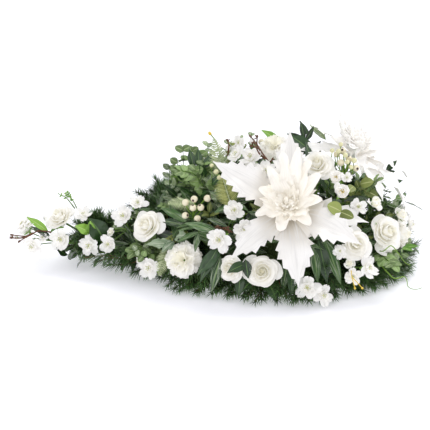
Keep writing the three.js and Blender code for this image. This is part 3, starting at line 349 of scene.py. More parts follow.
# Leafy sprays between the flowers: tip, finish, leaf's length and width, pairs, and a root where it has one
ACCENTS = [
    ((-61, 12, 228), "eucalyptus_leaf", 22, 21, 4), ((-44, 14, 226), "eucalyptus_leaf", 24, 20, 4),
    ((-29, 2, 220), "eucalyptus_leaf", 23, 21, 4), ((-14, 12, 236), "frosted_leaf", 25, 13, 4),
    ((-2, -8, 230), "frosted_leaf", 24, 12, 4), ((-20, -20, 210), "eucalyptus_leaf", 22, 20, 4),
    ((-72, 10, 204), "eucalyptus_leaf", 22, 20, 4), ((-88, 18, 190), "frosted_leaf", 22, 14, 4),
    ((-36, -34, 202), "eucalyptus_leaf", 22, 21, 4), ((-56, -30, 194), "eucalyptus_leaf", 23, 20, 4),
    ((-78, -46, 176), "frosted_leaf", 26, 12, 4), ((0, -60, 198), "eucalyptus_leaf", 22, 19, 4),
    ((286, -62, 190), "olive_leaf", 20, 17, 3), ((268, -70, 180), "olive_leaf", 22, 16, 3),
    ((302, -52, 176), "eucalyptus_leaf", 16, 13, 4), ((-134, -122, 62), "eucalyptus_leaf", 18, 16, 3),
    ((-146, -112, 70), "frosted_leaf", 18, 14, 3),
    ((-284, -12, 148), "fresh_leaf", 9, 5, 5, (-260, -8, 100)),
    ((-298, -14, 146), "fresh_leaf", 8, 4, 4, (-270, -10, 116)),
    ((346, -128, 70), "eucalyptus_leaf", 20, 15, 4), ((332, -144, 66), "frosted_leaf", 18, 14, 3),
    ((48, 14, 250), "frosted_leaf", 16, 10, 4), ((28, 4, 244), "frosted_leaf", 16, 10, 4),
    ((366, -60, 60), "frosted_leaf", 18, 13, 3), ((30, -24, 250), "olive_leaf", 14, 8, 4),
    ((70, 20, 256), "frosted_leaf", 14, 10, 4),
]

# Runs of fir garland: places along the foam's rim as X and side, or a wire of its own, the tips that its
# sprigs follow, and sprigs with a root and a tip of their own
GARLANDS = {
    "fir_tail": {
        "share": 0.8, "fan": 34, "wire": [(-112, 12, 20), (-150, 18, 30), (-196, 20, 36), (-236, 20, 40)],
        "tips": [
            (-296, -14, 46), (-254, -42, 28), (-266, 52, 52), (-222, 24, 84), (-206, 78, 38),
            (-160, -56, 18),
        ],
        "sprigs": [
            (-150, -60, 36, -248, -74, 40), (-160, -76, 36, -228, -84, 34), (-150, -70, 30, -206, -84, 30),
            (-140, -74, 40, -182, -78, 38), (-148, -64, 44, -232, -66, 54), (-244, -18, 66, -276, -42, 46),
            (-240, -18, 62, -262, -48, 36), (-120, -90, 30, -154, -108, 24),
            (-104, -92, 30, -130, -112, 22),
        ],
    },
    "fir_shoulder": {
        "share": 0.45, "fan": 6, "drawn": 0.16, "wire": [(-50, 24, 56), (-78, 46, 70), (-96, 62, 86)],
        "tips": [(-118, 54, 158), (-154, 26, 138), (-86, 100, 160), (-172, 34, 106), (-132, 118, 56)],
        "sprigs": [
            (-60, 16, 110, -98, 26, 156), (-90, 8, 90, -124, 16, 128), (-50, 24, 120, -80, 34, 176),
            (-40, 16, 130, -62, 30, 184), (-110, 0, 76, -156, 6, 108), (-130, -4, 70, -194, -4, 88),
            (-60, -10, 110, -90, -20, 142), (-90, -16, 90, -122, -30, 118), (-50, 40, 110, -84, 56, 162),
            (-100, 10, 84, -140, 22, 116), (-120, 4, 72, -172, 8, 98), (-70, 10, 100, -108, 14, 142),
        ],
    },
    "fir_front": {
        "share": 1.6, "rim": [(-60, -1), (-10, -1), (50, -1), (100, -1), (150, -1), (200, -1)],
        "tips": [
            (-84, -116, 16), (-40, -146, 14), (26, -174, 14), (90, -196, 14), (150, -202, 14),
            (204, -182, 14),
        ],
        "sprigs": [
            (-20, -100, 24, -66, -164, 12), (0, -110, 26, -36, -172, 12), (20, -120, 26, -6, -178, 12),
            (40, -126, 26, 22, -184, 12), (60, -130, 26, 52, -192, 12), (80, -134, 26, 84, -200, 11),
            (100, -138, 26, 112, -206, 11), (130, -138, 26, 140, -210, 11), (160, -138, 26, 168, -208, 11),
            (180, -138, 26, 196, -202, 11), (196, -134, 26, 216, -192, 12), (-10, -100, 46, -52, -156, 34),
            (10, -110, 50, -20, -166, 36), (110, -140, 50, 118, -204, 34), (150, -140, 50, 156, -206, 36),
            (30, -120, 56, 8, -172, 46), (190, -130, 50, 214, -190, 36), (-40, -90, 24, -88, -140, 11),
            (-30, -96, 24, -76, -154, 11), (-60, -80, 24, -104, -110, 14), (-50, -86, 40, -92, -128, 30),
            (-20, -100, 30, -50, -162, 20), (-10, -104, 24, -30, -166, 11), (-70, -74, 30, -112, -106, 22),
            (-80, -64, 24, -124, -92, 14), (-44, -90, 50, -84, -136, 44), (-4, -110, 40, -24, -168, 28),
            (206, -128, 24, 222, -180, 10), (214, -124, 40, 230, -176, 26), (120, -140, 34, 128, -214, 20),
        ],
    },
    "fir_right": {
        "share": 1.3, "rim": [(214, -1), (250, -1), (282, -1), (299, -1)],
        "tips": [(250, -150, 14), (290, -126, 16), (330, -94, 18), (362, -56, 18), (376, -12, 22)],
        "sprigs": [
            (220, -116, 26, 244, -172, 12), (240, -108, 26, 268, -162, 12), (256, -98, 26, 292, -148, 12),
            (268, -86, 26, 314, -132, 12), (278, -74, 26, 336, -112, 12), (286, -60, 28, 354, -90, 13),
            (292, -44, 28, 372, -60, 14), (296, -26, 30, 382, -30, 16), (240, -104, 50, 276, -146, 36),
            (262, -88, 50, 312, -120, 34), (280, -66, 50, 344, -88, 36), (290, -40, 52, 366, -48, 40),
            (250, -110, 20, 272, -160, 10), (264, -100, 20, 296, -146, 10), (276, -88, 20, 318, -130, 10),
            (284, -76, 22, 338, -112, 10), (290, -62, 22, 356, -90, 10), (294, -48, 24, 370, -70, 12),
            (297, -34, 24, 380, -44, 12), (256, -104, 30, 280, -140, 22), (276, -84, 30, 310, -116, 22),
            (290, -56, 30, 336, -78, 24), (230, -110, 30, 250, -160, 20), (268, -94, 36, 302, -130, 26),
        ],
    },
    "fir_right_back": {
        "rim": [(299, 1), (282, 1), (250, 1), (214, 1)],
        "tips": [(374, 36, 22), (350, 88, 18), (310, 140, 16), (262, 178, 14)], "mirror": "fir_right",
    },
    "fir_back": {
        "rim": [(200, 1), (150, 1), (100, 1), (50, 1), (-10, 1), (-60, 1)],
        "tips": [(204, 210, 14), (138, 224, 14), (64, 210, 14), (-14, 186, 14), (-88, 146, 16)],
        "mirror": "fir_front",
    },
}

# Greenery that fills the arrangement: finish, leaf's length and width, bend, bluntness, and each one's share
FILLERS = [
    ("coated_leaf", 42, 20, 0.5, 0.3), ("frosted_leaf", 28, 14, 0.4, 0.7), ("lance_leaf", 58, 14, 0.4, 0.0),
    ("olive_leaf", 26, 11, 0.5, 0.2), ("edged_leaf", 26, 16, 0.5, 0.6), ("fresh_leaf", 21, 11, 0.5, 0.3),
    ("eucalyptus_leaf", 22, 19, 0.4, 1.0),
]
FILLER_SHARES = (0.28, 0.14, 0.24, 0.08, 0.06, 0.06, 0.14)

# Its thirds: from and to along X, and how many stems for one of the user's
GREENERY = {"tail": (-290, -110, 0.45), "middle": (-110, 130, 1.3), "head": (130, 360, 1.3)}

# Half width and height of the hull that it fills, over X
HULL_X = (-300, -200, -100, 0, 100, 200, 300, 372)
HULL_HALF_WIDTH = (38, 66, 116, 156, 186, 190, 150, 70)
HULL_HEIGHT = (70, 84, 128, 212, 240, 236, 196, 120)


# Brown twigs with a bud at their end: their points
BUDDED_TWIGS = [
    [(88, -66, 200), (101, -80, 224), (86, -76, 248), (77, -72, 262), (66, -70, 276)],
    [(84, -75, 250), (77, -72, 262), (77, -74, 277)], [(82, -75, 255), (68, -77, 261)],
    [(92, -76, 236), (80, -82, 250), (72, -82, 268)], [(98, -80, 228), (104, -84, 236)],
    [(24, -20, 226), (26, -26, 244), (24, -28, 256)], [(4, -130, 120), (12, -160, 132), (22, -172, 138)],
    [(12, -160, 132), (6, -172, 140)], [(12, -160, 132), (26, -168, 130)],
    [(-300, -20, 60), (-319, -20, 71), (-341, -24, 75), (-361, -26, 65), (-389, -28, 68)],
    [(-350, -25, 71), (-372, -27, 62), (-391, -28, 62)], [(-350, -25, 71), (-376, -28, 56)],
]

# Loose leaves, in groups of one shape: side that they show, finish, shape, and leaves as root, tip, width and
# another finish where they have one
LOOSE_LEAVES = [
    (
        (0, -0.7, 0.7), "coated_leaf", {"wave": 0.14, "keel": 0.25, "size": (11, 7)},
        [
            ((124, -20, 250), (88, -10, 278), 15, "fresh_leaf"), ((189, 10, 220), (142, 10, 265), 28),
            ((184, 50, 240), (165, 60, 275), 9), ((215, 50, 236), (186, 60, 268), 15, "frosted_leaf"),
            ((329, 15, 182), (350, 20, 206), 12), ((322, 10, 178), (348, 12, 188), 10),
            ((333, -16, 166), (356, -20, 179), 11), ((-322, -20, 72), (-361, -20, 106), 15, "fresh_leaf"),
            ((-236, -44, 78), (-262, -56, 100), 22, "fresh_leaf"),
            ((-236, -44, 78), (-236, -62, 104), 20, "fresh_leaf"), ((-212, -46, 66), (-232, -60, 112), 40),
            ((-40, -10, 196), (-48, -4, 234), 16), ((-30, -14, 196), (-32, -4, 236), 15),
            ((-24, -16, 194), (-8, -20, 230), 14), ((-60, -24, 176), (-72, -34, 210), 15),
            ((-18, -30, 186), (-26, -46, 214), 15), ((-44, -36, 176), (-50, -56, 200), 14),
            ((-6, -60, 180), (6, -76, 204), 14), ((-70, -50, 150), (-88, -66, 178), 14),
            ((56, -196, 78), (22, -214, 72), 20), ((54, -196, 86), (60, -213, 56), 18),
            ((-50, -118, 126), (-106, -74, 152), 17, "lance_leaf"),
            ((-48, -120, 118), (-108, -96, 132), 15, "lance_leaf"),
            ((-54, -146, 136), (12, -160, 128), 17, "lance_leaf"),
            ((-14, -138, 142), (26, -150, 134), 12, "lance_leaf"), ((12, -158, 94), (-34, -192, 58), 24),
            ((-40, -132, 112), (10, -156, 104), 16, "lance_leaf"),
            ((36, -22, 226), (44, 0, 252), 12, "olive_leaf"),
            ((36, -22, 226), (60, -8, 250), 12, "olive_leaf"),
            ((340, -150, 90), (352, -176, 100), 10, "fresh_leaf"),
            ((340, -150, 90), (364, -168, 104), 10, "fresh_leaf"),
            ((134, -168, 92), (120, -212, 30), 20, "lance_leaf"), ((140, -172, 84), (136, -218, 22), 18),
            ((186, -160, 110), (204, -204, 44), 24), ((196, -156, 112), (232, -200, 38), 22, "lance_leaf"),
            ((176, -168, 100), (186, -208, 46), 18, "lance_leaf"), ((6, -160, 96), (-30, -196, 44), 18),
            ((10, -166, 80), (-8, -204, 26), 20, "lance_leaf"), ((46, -176, 60), (42, -216, 22), 18),
        ],
    ),
    (
        (0, -0.8, 0.6), "olive_leaf", {"rounded": 1.0, "keel": 0.1, "size": (11, 7)},
        [
            ((224, -178, 170), (202, -192, 188), 26), ((222, -180, 170), (244, -192, 166), 18),
            ((222, -180, 168), (212, -200, 152), 16), ((268, -84, 190), (286, -100, 202), 20),
            ((276, -84, 178), (300, -96, 172), 18), ((256, -84, 186), (246, -110, 190), 17),
        ],
    ),
    (
        (0, -0.7, 0.7), "dusty_leaf", {"wave": 0.3, "keel": 0.2, "teeth": 5, "size": (21, 7)},
        [
            ((-80, -118, 86), (-122, -140, 98), 24), ((-72, -118, 98), (-58, -146, 118), 26),
            ((-76, -122, 92), (-94, -158, 92), 22), ((-66, -120, 92), (-46, -150, 96), 20),
        ],
    ),
]

# Pale green berries, thin tendrils, long yellow stamens, the yellow bud's stalk, and small loose blossoms
GREEN_BERRIES = [
    (230, -76, 264), (214, -82, 254), (225, -86, 254), (238, -84, 246), (254, -88, 237), (248, -94, 226),
    (241, -92, 235), (2, -66, 208), (8, -70, 198), (-6, -52, 216),
]
TENDRILS = [
    [(300, -150, 84), (304, -170, 92), (316, -175, 104), (330, -170, 88), (345, -160, 66), (357, -150, 56)],
    [
        (300, -150, 60), (316, -170, 47), (326, -174, 40), (345, -162, 38), (352, -156, 26),
        (354, -152, 16), (362, -150, 9), (372, -150, 8), (382, -150, 11),
    ],
]
LONG_STAMENS = [
    [(243, -200, 66), (243, -215, 60), (248, -222, 42)],
    [(243, -215, 60), (254, -221, 50), (261, -222, 42)],
]
YELLOW_BUD_STALK = [(14, -6, 190), (11, -10, 218), (2, -14, 250), (-8, -20, 267)]
LOOSE_BLOSSOMS = [
    ((238, -120, 214), (0, -0.7, 0.7), 9), ((222, -200, 104), (-0.2, -0.9, 0.4), 8),
    ((44, -6, 246), (-0.1, -0.7, 0.7), 12), ((28, -16, 232), (-0.4, -0.7, 0.5), 10),
    ((-331, -30, 63), (-0.4, -0.6, 0.7), 8), ((-358, -18, 85), (-0.5, -0.3, 0.8), 8),
]


# Numbers and vectors


def mix(low, high, share):
    """The value a share of the way from low to high."""
    return low + (high - low) * share


def smooth(low, high, value):
    """A step from 0 to 1 between low and high, with no slope at its ends."""
    share = np.clip((value - low) / (high - low), 0, 1)
    return share * share * (3 - 2 * share)


def vector(numbers):
    """One place or direction, or several, as an array."""
    return np.asarray(numbers, float)


def unit(vectors):
    """Vectors brought to length one."""
    length = np.linalg.norm(vectors, axis=-1, keepdims=True)
    return vectors / np.maximum(length, 1e-9)


def rows_of(points):
    """One point or several as rows of numbers."""
    return np.atleast_2d(vector(points))


def round_about(turn, x, y):
    """Directions that stand off the first of two directions by a turn towards the second."""
    return np.cos(turn)[..., None] * x + np.sin(turn)[..., None] * y


def facing(at, look, turn=0.0):
    """Frames with Z along look and Y as near to straight up as that allows, then turned about Z.
    A frame's columns are X, Y, Z and its origin."""
    at, look = rows_of(at), unit(rows_of(look))
    upright = np.abs(look[:, 2:]) > 0.97
    x = unit(np.cross(np.where(upright, [[0.0, 1, 0]], [[0.0, 0, 1]]), look))
    y = np.cross(look, x)
    c, s = (np.broadcast_to(f(turn), len(look))[:, None] for f in (np.cos, np.sin))
    return np.stack([x * c + y * s, y * c - x * s, look, np.broadcast_to(at, look.shape)], -1)


def leaf_frames(at, along, show):
    """Frames with X along a leaf and Z towards the side that it shows."""
    at, along, show = (rows_of(v) for v in (at, along, show))
    count = max(len(at), len(along), len(show))
    at, along, show = (np.broadcast_to(v, (count, 3)) for v in (at, along, show))
    x = unit(along)
    y = unit(np.cross(show, x))
    return np.stack([x, y, np.cross(x, y), at], -1)


def put(points, frames):
    """Copies of points, each placed in its own frame. The first axis counts the copies."""
    copies = max(len(points), len(frames))
    flat = np.broadcast_to(points, (copies, *points.shape[1:])).reshape(copies, -1, 3)
    placed = flat @ np.swapaxes(frames[..., :3], -1, -2) + frames[:, None, :, 3]
    return placed.reshape(copies, *points.shape[1:])


def smooth_path(points, steps):
    """A Catmull-Rom curve through points, with some steps for each stretch."""
    points = rows_of(points)
    ends = np.concatenate([[2 * points[0] - points[1]], points, [2 * points[-1] - points[-2]]])
    t = np.linspace(0, 1, steps, endpoint=False)[:, None]
    a, b, c, d = (ends[k : len(ends) - 3 + k][:, None] for k in range(4))
    curve = b + t * (c - a) / 2 + t**2 * (a - 2.5 * b + 2 * c - d / 2) + t**3 * (3 * b - a - 3 * c + d) / 2
    return np.concatenate([curve.reshape(-1, 3), points[-1:]])


def point_on(path, share):
    """The point a share of the way along straight pieces, each piece counting the same."""
    at = np.clip(share, 0, 1) * (len(path) - 1)
    first = int(min(math.floor(at), len(path) - 2))
    return mix(path[first], path[first + 1], at - first)


def points_on(path, shares):
    """The points some shares of the way along straight pieces."""
    return np.stack([point_on(path, share) for share in shares])


def nearest_on(path, to):
    """The point of a run of straight pieces that is nearest to a given one."""
    starts, ways = path[:-1], np.diff(path, axis=0)
    share = np.clip(((to - starts) * ways).sum(1) / (ways * ways).sum(1), 0, 1)
    near = starts + ways * share[:, None]
    return near[np.argmin(np.linalg.norm(near - to, axis=1))]


# The mould that gathers a piece


def blade_faces(rows, columns):
    """Faces of a two-sided blade over a grid, whose back shares the rim's points."""
    front = np.arange(rows * columns).reshape(rows, columns)
    back = front.copy()
    inside = (rows - 2, columns - 2)
    back[1:-1, 1:-1] = rows * columns + np.arange(inside[0] * inside[1]).reshape(inside)
    front, back = (np.stack([g[:-1, :-1], g[1:, :-1], g[1:, 1:], g[:-1, 1:]], -1) for g in (front, back))
    return np.concatenate([front.reshape(-1, 4), back.reshape(-1, 4)[:, ::-1]])


def ring_faces(rings, sides):
    """Faces of a closed tube of rings, with its two end faces."""
    index = np.arange(rings * sides).reshape(rings, sides)
    after = np.roll(index, -1, 1)
    walls = np.stack([index[:-1], after[:-1], after[1:], index[1:]], -1).reshape(-1, 4)
    return [walls, index[:1, ::-1], index[-1:]]


class Mould:
    """Gathers the points, faces, UVs and tones of the shapes of one piece, in millimetres."""

    def __init__(self):
        self.points, self.uvs, self.tones = [], [], []
        self.corners, self.sizes, self.paints = [], [], []
        self.names = []
        self.count = 0

    def add(self, points, faces, uv, paint, tone=0.5):
        """Adds copies of a shape: points as copies x points x 3, and blocks of faces with alike many
        corners."""
        copies, many = points.shape[:2]
        starts = self.count + many * np.arange(copies)
        if paint not in self.names:
            self.names.append(paint)
        for block in faces:
            corners = (block[None] + starts[:, None, None]).reshape(-1, block.shape[1])
            self.corners.append(corners.ravel())
            self.sizes.append(np.full(len(corners), block.shape[1]))
            self.paints.append(np.full(len(corners), self.names.index(paint)))
        self.points.append(points.reshape(-1, 3))
        self.uvs.append(np.broadcast_to(uv, (copies, many, 2)).reshape(-1, 2))
        self.tones.append(np.repeat(np.broadcast_to(vector(tone), (copies,)), many))
        self.count += copies * many

    def blades(self, grid, thickness, paint, tone=0.5, across=None, along=None):
        """Adds thin blades over grids of copies x rows x columns x 3. A blade swells from its sharp rim by
        half its thickness to either side, along the cross product of its two directions."""
        copies, rows, columns = grid.shape[:3]
        normal = unit(np.cross(np.gradient(grid, axis=1), np.gradient(grid, axis=2)))
        lift = normal[:, 1:-1, 1:-1] * thickness / 2
        front = grid.copy()
        front[:, 1:-1, 1:-1] += lift
        back = grid[:, 1:-1, 1:-1] - lift
        u = np.linspace(0, 1, columns) if across is None else across
        v = np.linspace(0, 1, rows) if along is None else along
        uv = np.stack(np.broadcast_arrays(u[None, :], v[:, None]), -1)
        uv = np.concatenate([uv.reshape(-1, 2), uv[1:-1, 1:-1].reshape(-1, 2)])
        points = np.concatenate([front.reshape(copies, -1, 3), back.reshape(copies, -1, 3)], 1)
        self.add(points, [blade_faces(rows, columns)], uv, paint, tone)

    def lofts(self, rings, paint, tone=0.5):
        """Adds closed bodies over rings of copies x rings x sides x 3."""
        copies, count, sides = rings.shape[:3]
        uv = np.stack(np.broadcast_arrays(np.arange(sides) / sides, np.linspace(0, 1, count)[:, None]), -1)
        self.add(rings.reshape(copies, -1, 3), ring_faces(count, sides), uv.reshape(-1, 2), paint, tone)

    def tubes(self, paths, radius, sides, paint, tone=0.5):
        """Adds round stems along paths of copies x points x 3. The first spoke of each ring is the one
        before it, laid square to the path again, so that the tube doesn't twist."""
        paths = paths if paths.ndim == 3 else paths[None]
        along = unit(np.gradient(paths, axis=1))
        steep = np.abs(along[:, 0, 2:]) > 0.9
        spoke = unit(np.cross(along[:, 0], np.where(steep, [[1.0, 0, 0]], [[0.0, 0, 1]])))
        spokes = [spoke]
        for way in np.moveaxis(along[:, 1:], 1, 0):
            spoke = unit(spoke - (spoke * way).sum(-1, keepdims=True) * way)
            spokes.append(spoke)
        spokes = np.stack(spokes, 1)
        turn = 2 * math.pi * np.arange(sides) / sides
        around = round_about(turn, spokes[:, :, None], np.cross(along, spokes)[:, :, None])
        radius = np.broadcast_to(radius, paths.shape[:2])[..., None, None]
        self.lofts(paths[:, :, None] + radius * around, paint, tone)

    def stem(self, points, steps, ends, sides, paint="green_stem"):
        """Adds a round stem on a smooth curve through points, from its first radius to its last, and gives
        the curve."""
        curve = smooth_path(points, steps)
        self.tubes(curve, np.linspace(*np.broadcast_to(ends, 2), len(curve)), sides, paint)
        return curve

    def turned(self, profile, size, sides, frames, paint, tone=0.5):
        """Adds solids of revolution about Z, from a profile of distances from the axis and heights that
        starts and ends on the axis."""
        profile = vector(profile)
        turn = 2 * math.pi * np.arange(sides) / sides
        rim, height = np.hsplit(profile[1:-1], 2)
        ring = np.stack([rim * np.cos(turn), rim * np.sin(turn), height + 0 * turn], -1)
        shape = np.concatenate([ring.reshape(-1, 3), [[0, 0, profile[0, 1]], [0, 0, profile[-1, 1]]]])
        walls = ring_faces(len(rim), sides)[0]
        low, high = len(shape) - 2, len(shape) - 1
        first = np.arange(sides)
        after = np.roll(first, -1)
        last = (len(rim) - 1) * sides
        caps = np.concatenate([
            np.stack([np.full(sides, low), after, first], -1),
            np.stack([np.full(sides, high), first + last, after + last], -1),
        ])
        heights = (shape[:, 2] - shape[:, 2].min()) / np.ptp(shape[:, 2])
        uv = np.stack([np.full(len(shape), 0.5), heights], -1)
        scaled = shape[None] * np.broadcast_to(size, (len(frames),))[:, None, None]
        self.add(put(scaled, frames), [walls, caps], uv, paint, tone)

    def needles(self, roots, tips, width, paint, tone=0.5):
        """Adds flat three-sided needles from roots to tips: a triangle at the root, drawn out to a
        point."""
        way = unit(tips - roots)
        steep = np.abs(way[:, 2:]) > 0.9
        side = unit(np.cross(way, np.where(steep, [[1.0, 0, 0]], [[0.0, 0, 1]])))
        up = np.cross(way, side)
        foot = [roots + side * width / 2, roots + up * width / 3, roots - side * width / 2]
        faces = np.array([[0, 1, 3], [1, 2, 3], [2, 0, 3], [2, 1, 0]])
        uv = vector([[0, 0], [0.5, 0], [1, 0], [0.5, 1]])
        self.add(np.stack([*foot, tips], 1), [faces], uv, paint, tone)

    def cast(self, name, slot, *nodes):
        """Makes the mesh and its object, on the root body, in place of the given nodes."""
        mesh = bpy.data.meshes.new(name)
        corners, sizes = np.concatenate(self.corners), np.concatenate(self.sizes)
        points = np.concatenate(self.points) * MM
        mesh.vertices.add(len(points))
        mesh.vertices.foreach_set("co", points.astype(np.float32).ravel())
        mesh.loops.add(len(corners))
        mesh.loops.foreach_set("vertex_index", corners.astype(np.int32))
        mesh.polygons.add(len(sizes))
        mesh.polygons.foreach_set("loop_start", (np.cumsum(sizes) - sizes).astype(np.int32))
        mesh.polygons.foreach_set("material_index", np.concatenate(self.paints).astype(np.int32))
        mesh.polygons.foreach_set("use_smooth", np.ones(len(sizes), bool))
        mesh.update(calc_edges=True)
        layer = mesh.uv_layers.new(name="UVMap")
        layer.uv.foreach_set("vector", np.concatenate(self.uvs)[corners].astype(np.float32).ravel())
        tones = mesh.attributes.new("tone", "FLOAT", "POINT")
        tones.data.foreach_set("value", np.concatenate(self.tones).astype(np.float32))
        mesh.set_sharp_from_angle(angle=SHARP_ANGLE)
        for paint in self.names:
            mesh.materials.append(paint_of(paint))
        piece = bpy.data.objects.new(name, mesh)
        bpy.context.scene.collection.objects.link(piece)
        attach(piece, "root")
        if nodes:
            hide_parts(*nodes)
        return piece


# Shader maths


class Socket:
    """A number in a shader. Python's operators on it add Math nodes."""

    def __init__(self, shader, link):
        self.shader, self.link = shader, link

    def __add__(self, other):
        return self.shader.maths("ADD", self, other)

    def __sub__(self, other):
        return self.shader.maths("SUBTRACT", self, other)

    def __rsub__(self, other):
        return self.shader.maths("SUBTRACT", other, self)

    def __mul__(self, other):
        return self.shader.maths("MULTIPLY", self, other)

    __radd__ = __add__
    __rmul__ = __mul__

    def __abs__(self):
        return self.shader.maths("ABSOLUTE", self)

    def fraction(self):
        """What the number has past its whole part."""
        return self.shader.maths("FRACT", self)

    def between(self, low, high):
        """A smooth step from 0 to 1 as the number goes from low to high."""
        inputs = {"Value": self, "From Min": low, "From Max": high}
        return self.shader.node("ShaderNodeMapRange", {"interpolation_type": "SMOOTHSTEP"}, inputs)


class Shader:
    """The node tree of one material."""

    def __init__(self, name):
        self.material = bpy.data.materials.new(name)
        self.material.use_nodes = True
        self.tree = self.material.node_tree
        self.tree.nodes.clear()

    def node(self, kind, settings=None, inputs=None, output=0):
        """Adds a node: its settings are set first, then the values or links of its inputs."""
        made = self.tree.nodes.new(kind)
        for key, value in (settings or {}).items():
            setattr(made, key, value)
        for key, value in (inputs or {}).items():
            if isinstance(value, Socket):
                self.tree.links.new(value.link, made.inputs[key])
            else:
                made.inputs[key].default_value = value
        return None if output is None else Socket(self, made.outputs[output])

    def maths(self, operation, *values):
        """A Math node on numbers and sockets."""
        return self.node("ShaderNodeMath", {"operation": operation}, dict(enumerate(values)))

    def uv(self):
        """How far a point lies across and along its petal or leaf."""
        place = self.node("ShaderNodeUVMap", {"uv_map": "UVMap"})
        return tuple(self.node("ShaderNodeSeparateXYZ", {}, {0: place}, k) for k in range(2))

    def tone(self):
        """The number between 0 and 1 that each petal, leaf or needle has of its own."""
        return self.node("ShaderNodeAttribute", {"attribute_name": "tone"}, {}, 2)

    def noise(self, scale, detail=2.0):
        """Clouds with a number of them to the metre, fixed to the object."""
        place = self.node("ShaderNodeTexCoord", {}, {}, 3)
        return self.node("ShaderNodeTexNoise", {}, {"Vector": place, "Scale": scale, "Detail": detail})

    def streaks(self, across, along):
        """Clouds drawn out along a leaf, in the leaf's own directions."""
        u, v = self.uv()
        place = self.node("ShaderNodeCombineXYZ", {}, {0: u * across, 1: v * along, 2: self.tone() * 40})
        return self.node("ShaderNodeTexNoise", {}, {"Vector": place, "Scale": 1.0, "Detail": 2.0})

    def blend(self, low, high, share):
        """One colour into another. Each is a link, or a colour of three or four parts."""
        low, high = (c if isinstance(c, Socket) else (*c[:3], 1.0) for c in (low, high))
        return self.node("ShaderNodeMix", {"data_type": "RGBA"}, {0: share, 6: low, 7: high}, 2)

    def surface(self, colour, roughness, height=None, strength=0.3, distance=0.0005, **fixed):
        """The finish: colour, roughness, relief from a height, and what is alike all over it."""
        inputs = {"Base Color": colour, "Roughness": roughness}
        if height is not None:
            relief = {"Height": height, "Strength": strength, "Distance": distance}
            inputs["Normal"] = self.node("ShaderNodeBump", {}, relief)
        inputs.update({key.replace("_", " ").title(): value for key, value in fixed.items()})
        finish = self.node("ShaderNodeBsdfPrincipled", {}, inputs)
        self.node("ShaderNodeOutputMaterial", {}, {"Surface": finish}, None)
        return self.material


# Finishes


def srgb(red, green, blue):
    """A screen colour from 0 to 255 as linear light."""
    share = np.array([red, green, blue]) / 255
    linear = np.where(share <= 0.04045, share / 12.92, ((share + 0.055) / 1.055) ** 2.4)
    return tuple(float(c) for c in linear)


def shade(colour, factor, warm=1.0):
    """A colour made lighter or darker, and warmer above 1."""
    red, green, blue = (min(c * factor, 1.0) for c in colour)
    return (min(red * warm, 1.0), green, blue / warm, 1.0)


def cloth(shader, colour, roughness, height, relief, glow, painted_glow, lit):
    """The surface of petal cloth, which lets light through, with a painted glow: it gives off a little light
    of its own colour, which lifts its shade.
    """
    return shader.surface(colour, roughness, height, relief, 0.0006, subsurface_weight=glow,
                          subsurface_radius=PETAL_GLOW, subsurface_scale=PETAL_DEPTH,
                          emission_color=shade(lit, 1), emission_strength=painted_glow)


def silk(shader, petal, heart, foot=0.4, glow=0.3, painted_glow=0.1, vein=0.93, relief=0.3):
    """Woven petal silk: heart colour at the foot, faint veins along the petal, a crumple, light let through
    and a painted glow. On the large flowers the colour at the foot is painted shade towards their middle,
    over the curls' own cream."""
    _, v = shader.uv()
    veins = shader.streaks(26, 2.2)
    crumple = shader.noise(140)
    # Towards the foot: the own heart colour of blossoms and ranunculus, and painted shade on the large
    # flowers
    body = shader.blend(heart, petal, v.between(0, foot))
    colour = shader.blend(shade(petal, vein), body, veins.between(0.25, 0.55))
    height = veins * 0.6 + crumple * 0.8
    return cloth(shader, colour, 0.55 + crumple * 0.3, height, relief, glow, painted_glow, petal)


def rose_silk(shader, petal, heart):
    """Rose silk: the tone is how far a petal has opened, and the closed ones keep the heart's colour. Each
    petal is darker towards its foot, painted shade deep between the petals, and the silk has a painted glow.
    """
    _, v = shader.uv()
    veins = shader.streaks(26, 2)
    crumple = shader.noise(160)
    inner = shader.blend(heart, petal, shader.tone().between(0.0, 0.5))
    # Painted shade: each petal a little darker towards its foot, deep between the petals
    body = shader.blend(shade(heart, 0.94), inner, v.between(0.1, 0.75))
    colour = shader.blend(shade(petal, 0.95), body, veins.between(0.2, 0.5))
    height = veins * 0.5 + crumple
    return cloth(shader, colour, 0.52 + crumple * 0.3, height, 0.25, 0.3, ROSE_PAINTED_GLOW, heart)


def foliage(shader, dark, light, rib, rough=0.45, frost=0.0, rim=0.0, coat=0.0):
    """A leaf: each between dark and light by its tone, with a pale midrib, side veins, pale streaks brushed
    along it, frosted on most leaves and painted sheen on the lance leaves, and a frosted rim."""
    u, v = shader.uv()
    off = abs(u - 0.5)
    cloud = shader.noise(110)
    body = shader.blend(dark, light, (shader.tone() * 0.8 + cloud * 0.4).between(0.1, 1))
    side_veins = (v * 9 - off * 5).fraction().between(0.02, 0.16)
    body = shader.blend(shade(light, 1.15), body, side_veins * 0.35 + 0.65)
    if frost:
        # Pale streaks along the leaf: a frosted bloom, and on the lance leaves painted sheen
        frost_and_sheen_streaks = shader.streaks(16, 2.4).between(0.62 - 0.3 * frost, 0.78 - 0.2 * frost)
        body = shader.blend(body, FROST_AND_SHEEN, frost_and_sheen_streaks * min(frost + 0.2, 1.0))
    if rim:
        body = shader.blend(body, FROST_AND_SHEEN, off.between(0.36, 0.47) * rim)
    mid = off.between(0.02, 0.06)
    colour = shader.blend(rib, body, mid)
    height = mid * 0.6 + side_veins * 0.4 + cloud * 0.3
    return shader.surface(colour, rough + cloud * 0.18, height, 0.5, 0.0008, coat_weight=coat)


def bark(shader, dark, light):
    """A round stem: two colours in long clouds, with a fine grain."""
    grain = shader.streaks(3, 30)
    cloud = shader.noise(300)
    colour = shader.blend(dark, light, (grain * 0.6 + cloud * 0.6).between(0.35, 0.85))
    return shader.surface(colour, 0.55 + cloud * 0.2, grain + cloud * 0.5, 0.4, 0.0006)


